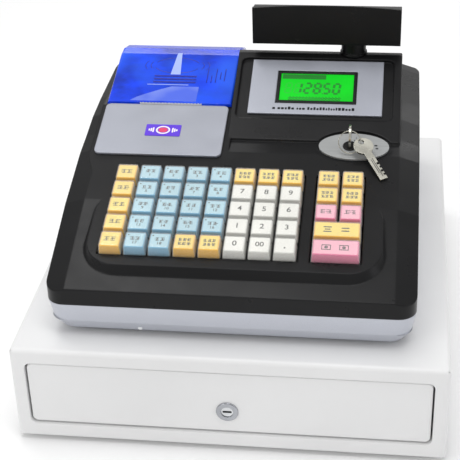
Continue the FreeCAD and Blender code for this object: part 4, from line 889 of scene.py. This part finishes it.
def make_lid_painted_highlight():
    """A painted highlight: a bright patch that widens to the right, between the lid's front edge and a slanting
    line, standing in for light reflected on the lid.
    """
    bm = bmesh.new()
    rings = []
    for step in range(13):
        across = -36 + 5 * step
        rise = 0.02 + 0.165 * min(step / 7, 1) ** 0.8
        near, far = lid_spot(across, 0.015), lid_spot(across, rise)
        rings.append([on_lid(near, 0.02), on_lid(far, 0.02), on_lid(far, 0.1), on_lid(near, 0.1)])
    loft(bm, rings)
    piece("lid_painted_highlight", bm, ["lid_painted_highlight"], "lid")


def paper_path():
    """The paper's way from the roll: over the platen, out under the lid's edge and up at the slot."""
    roll_low, roll_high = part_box("paper_roll")
    platen_low, platen_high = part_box("platen_roller")
    lid_low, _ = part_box("printer_lid")
    _, panel_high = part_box("printer_panel")
    slot_y = (lid_low.y + panel_high.y) / 2
    crest = platen_high.z - 1.45 * MM
    lip = 199.55 * MM
    return [(roll_low.y + 3.5 * MM, (roll_low.z + roll_high.z) / 2 + 12 * MM),
            (platen_high.y + 9 * MM, crest + 2 * MM),
            (platen_high.y, crest + 0.6 * MM),
            ((platen_low.y + platen_high.y) / 2, crest + 0.15 * MM),
            (platen_low.y - 2 * MM, crest + 1.2 * MM),
            (slot_y + 5 * MM, lip - 0.15 * MM),
            (slot_y + 1 * MM, lip),
            (slot_y + 0.15 * MM, lip + 0.35 * MM),
            (slot_y, lip + 1.3 * MM),
            (slot_y - 0.1 * MM, lip + 2.2 * MM),
            (slot_y - 0.4 * MM, lip + 3.4 * MM)]


def make_paper():
    """The paper's free end: a thin sheet along its path, torn along a row of teeth."""
    roll_low, roll_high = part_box("paper_roll")
    path = paper_path()
    bm = bmesh.new()
    left, right = roll_low.x + 0.5 * MM, roll_high.x - 0.5 * MM
    teeth = 38
    half_thick = 0.05 * MM
    rows = []
    for i, (y, z) in enumerate(path):
        before, after = path[max(i - 1, 0)], path[min(i + 1, len(path) - 1)]
        run = Vector((0, after[0] - before[0], after[1] - before[1])).normalized()
        off = Vector((0, -run.z, run.y)) * half_thick
        row = []
        for j in range(teeth + 1):
            spot = Vector((left + (right - left) * j / teeth, y, z))
            if i == len(path) - 1 and j % 2:
                spot -= run * 0.9 * MM
            row.append((bm.verts.new(spot + off), bm.verts.new(spot - off)))
        rows.append(row)
    for a, b in zip(rows, rows[1:]):
        for j in range(teeth):
            bm.faces.new((a[j][0], a[j + 1][0], b[j + 1][0], b[j][0]))
            bm.faces.new((a[j][1], b[j][1], b[j + 1][1], a[j + 1][1]))
    for row in (rows[0], rows[-1]):
        for j in range(teeth):
            bm.faces.new((row[j][0], row[j][1], row[j + 1][1], row[j + 1][0]))
    for a, b in zip(rows, rows[1:]):
        for j in (0, teeth):
            bm.faces.new((a[j][0], b[j][0], b[j][1], a[j][1]))
    piece("paper_end", bm, ["paper"], "register")


def make_badge():
    """A plain violet tablet with a ring round a disc, and three strokes at each side of them."""
    slope = Slope("printer_panel")
    low, high = slope.span("printer_panel")
    middle = (low.x + (high.x - low.x) * 0.51, low.y + (high.y - low.y) * 0.47)
    top = high.z + 0.5 * MM
    raised = top + 0.08 * MM
    bm = bmesh.new()
    tablet(bm, middle, 15.6 * MM, 7.6 * MM, 1.0 * MM, high.z, top, 0, 0.2 * MM)
    band(bm, arc(middle, 5.6 * MM, 4.6 * MM, 0, 360, 32)[:-1], 1.5 * MM, top, raised, 1, closed=True)
    tablet(bm, middle, 4.1 * MM, 3.1 * MM, 3.0 * MM, top, raised, 2)
    for side in (-1, 1):
        for reach in (8.6, 10.4, 12.2):
            spot = (middle[0] + side * reach * MM, middle[1])
            tablet(bm, spot, 0.7 * MM, (7.4 - reach * 0.5) * MM, 0.6 * MM, top, raised, 1)
    move(bm, slope.matrix)
    piece("panel_badge", bm, ["badge_violet", "badge_pale", "badge_red"], "register")


# -------------------------------------------------- lock, lamp, spring, ring

def make_lock_dial():
    """Ticks and figures round the mode lock, and five short strokes to their right."""
    slope = Slope("lock_plate")
    _, high = slope.span("lock_plate")
    barrel_low, barrel_high = slope.span("mode_lock_barrel")
    middle = ((barrel_low.x + barrel_high.x) / 2, (barrel_low.y + barrel_high.y) / 2)
    level = high.z + 0.01 * MM
    thick = 0.05 * MM
    bm = bmesh.new()
    for figure, angle in zip("0123", (90, 65, 40, 15)):
        run = Vector((math.cos(math.radians(angle)), math.sin(math.radians(angle))))
        inner, outer, label = [(middle[0] + run.x * r * MM, middle[1] + run.y * r * MM)
                               for r in (7.6, 9.2, 11.6)]
        band(bm, [inner, outer], 0.5 * MM, level, level + thick)
        add_text(bm, figure, 3.4 * MM, label, level, thick)
    for x, y, reach in ((17.5, 1.6, 1.7), (22, 1.6, 1.3), (18, -2.2, 1.9), (23, -2.2, 1.2), (12, 6.4, 1.6)):
        spot = (middle[0] + x * MM, middle[1] + y * MM)
        tablet(bm, spot, reach * MM, 0.9 * MM, 0.6 * MM, level, level + thick)
    move(bm, slope.matrix)
    piece("lock_dial_marks", bm, ["dial_ink"], "register")


def make_key_groove():
    """Two milled grooves along the spare key's blade, drawn as dark lines of painted shade on its upper face."""
    key = frame["nodes"]["spare_key"]
    turn = key.matrix_world.to_3x3()
    spots = [key.matrix_world @ corner.co for corner in key.data.vertices]
    flat = (turn @ max(key.data.polygons, key=lambda face: face.area).normal).normalized()
    if flat.z < 0:
        flat = -flat
    hole = Vector(JOINTS["spare_key_swing"]["pos_m"])
    furthest = max((spot - hole).length for spot in spots)
    ends = [spot for spot in spots if (spot - hole).length > furthest - 1.2 * MM]
    tip = sum(ends, Vector()) / len(ends)
    face = max(spot.dot(flat) for spot in spots)
    hole += flat * (face - hole.dot(flat))
    tip += flat * (face - tip.dot(flat))
    along = (tip - hole).normalized()
    across = flat.cross(along)
    matrix = Matrix((along, across, flat)).transposed().to_4x4()
    matrix.translation = hole
    reach = (tip - hole).length
    bm = bmesh.new()
    for y, start, end in ((0.5, 19, 3.0), (-0.9, 20, 7.0)):
        band(bm, [(start * MM, y * MM), (reach - end * MM, y * MM)], 0.7 * MM, 0.005 * MM, 0.03 * MM)
    move(bm, matrix)
    piece("key_groove_painted_shade", bm, ["groove_painted_shade"], "spare")


def make_lamp():
    """The small pale lens low on the silver front."""
    low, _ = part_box("base_housing")
    spot = surface_point("base_housing", (low.x * 0.49, low.y - 0.1, low.z + 3 * MM), (0, 1, 0))
    bm = bmesh.new()
    rings = []
    for angle in range(0, 90, 15):
        radius = 2.1 * math.cos(math.radians(angle)) * MM
        rise = 1.1 * math.sin(math.radians(angle)) * MM
        rings.append([Vector((spot.x + radius * math.cos(a * math.pi / 12), spot.y + 0.3 * MM - rise,
                              spot.z + radius * math.sin(a * math.pi / 12))) for a in range(24)])
    loft(bm, rings)
    piece("front_lamp", bm, ["lamp_lens"], "register")


def tube(name, points, radius, finish, body, stands_for):
    """A round wire along a line of close points."""
    curve = bpy.data.curves.new(name, "CURVE")
    curve.dimensions = "3D"
    curve.bevel_depth = radius
    curve.bevel_resolution = 4
    curve.use_fill_caps = True
    spline = curve.splines.new("POLY")
    spline.points.add(len(points) - 1)
    for target, point in zip(spline.points, points):
        target.co = (*point, 1)
    curve.materials.append(FINISHES[finish].material)
    thing = bpy.data.objects.new(name, curve)
    SCENE.collection.objects.link(thing)
    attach(thing, body)
    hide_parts(*stands_for)


def make_spring():
    """The drawer's eject spring as a wound wire, in the room of its CAD solid."""
    low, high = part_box("eject_spring")
    middle = (low + high) / 2
    wire = 0.8 * MM
    radius = (high.x - low.x) / 2 - wire
    turns = 9
    steps = 24 * turns
    points = []
    for i in range(steps + 1):
        share = i / steps
        # the coils lie close together over the first and the last tenth
        eased = min(max((share - 0.1) / 0.8, 0), 1)
        angle = 2 * math.pi * turns * share
        y = low.y + wire + (high.y - low.y - 2 * wire) * (0.04 * share + 0.96 * eased)
        points.append((middle.x + radius * math.cos(angle), y, middle.z + radius * math.sin(angle)))
    tube("eject_spring_coil", points, wire, "spring_steel", "register", ["eject_spring"])


def make_split_ring():
    """The key ring as two turns of round wire side by side, in the room of its CAD torus."""
    points = [v.co for v in frame["nodes"]["key_ring"].data.vertices]
    low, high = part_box("key_ring")
    middle = (low + high) / 2
    # the ring's plane holds X; its rise is the longest way across the torus in the YZ plane
    far = max(points, key=lambda p: (p.y - middle.y) ** 2 + (p.z - middle.z) ** 2)
    rise = Vector((0, far.y - middle.y, far.z - middle.z)).normalized()
    across = Vector((1, 0, 0))
    off = across.cross(rise)
    wire = 0.4 * MM
    radius = (high.x - low.x) / 2 - 2 * wire
    turns = 2.1
    steps = 150
    line = []
    for i in range(steps + 1):
        share = i / steps
        angle = 2 * math.pi * turns * share
        shift = (share - 0.5) * 2 * wire
        spoke = across * radius * math.cos(angle) + rise * radius * math.sin(angle)
        line.append(middle + spoke + off * shift)
    tube("split_ring", line, wire, "key_nickel", "ring", ["key_ring"])


dress_nodes()
make_keys()
make_operator_display()
make_plate_strokes()
make_customer_display()
make_lid_ribs()
make_lid_pointer()
make_lid_painted_highlight()
make_paper()
make_badge()
make_lock_dial()
make_key_groove()
make_lamp()
make_spring()
make_split_ring()


# ------------------------------------------------------------ floor and light

def make_floor():
    """A plain pale floor."""
    floor = bpy.data.meshes.new("floor")
    reach = 6.0
    floor.from_pydata([(-reach, -reach, 0), (reach, -reach, 0), (reach, reach, 0), (-reach, reach, 0)], [],
                      [(0, 1, 2, 3)])
    thing = bpy.data.objects.new("floor", floor)
    SCENE.collection.objects.link(thing)
    finish = Finish("floor_white", "fdfdfd", 0.6)
    finish.shade(finish.noise(2, 3), 0.99, 1.0)
    floor.materials.append(finish.material)


def area_light(name, place, target, size, power, colour=(1, 1, 1)):
    """A rectangular light aimed at a target."""
    light = bpy.data.lights.new(name, "AREA")
    light.shape = "RECTANGLE"
    light.size, light.size_y = size
    light.energy = power
    light.color = colour
    thing = bpy.data.objects.new(name, light)
    thing.location = place
    thing.rotation_euler = (Vector(target) - Vector(place)).to_track_quat("-Z", "Y").to_euler()
    SCENE.collection.objects.link(thing)


def make_lights():
    """A pale sky, a large soft light overhead and softer ones at the sides and back."""
    world = bpy.data.worlds.new("studio")
    world.use_nodes = True
    world.node_tree.nodes["Background"].inputs["Color"].default_value = (1.0, 1.0, 1.0, 1)
    world.node_tree.nodes["Background"].inputs["Strength"].default_value = 0.53
    SCENE.world = world
    area_light("overhead", (-0.1, -0.1, 1.9), (0, 0, 0.1), (2.2, 0.6), 17)
    area_light("front_left", (-1.3, -1.5, 1.2), (0, -0.1, 0.1), (1.0, 1.0), 8)
    area_light("back_strip", (0.1, 1.3, 1.0), (0.0, 0.1, 0.2), (1.6, 0.35), 4.5)
    area_light("right_wall", (1.5, -0.5, 0.6), (0.1, 0, 0.15), (0.5, 1.2), 2.3, (0.95, 0.95, 1.0))


def make_camera():
    """A long lens from a little right of the middle, looking down on the keys and rolled slightly."""
    camera = bpy.data.cameras.new("camera")
    camera.lens = 99.09
    camera.sensor_width = 36
    yaw, pitch, roll = math.radians(-8.054), math.radians(30.468), math.radians(-1.935)
    forward = Vector((math.sin(yaw) * math.cos(pitch), math.cos(yaw) * math.cos(pitch), -math.sin(pitch)))
    right = Vector((math.cos(yaw), -math.sin(yaw), 0))
    up = right.cross(forward)
    right, up = (right * math.cos(roll) + up * math.sin(roll), up * math.cos(roll) - right * math.sin(roll))
    thing = bpy.data.objects.new("camera", camera)
    thing.matrix_world = (Matrix.Translation((0.1194, -0.9938, 0.6790))
                          @ Matrix((right, up, -forward)).transposed().to_4x4())
    SCENE.collection.objects.link(thing)
    SCENE.camera = thing


make_floor()
make_lights()
make_camera()
SCENE.view_settings.view_transform = "Standard"
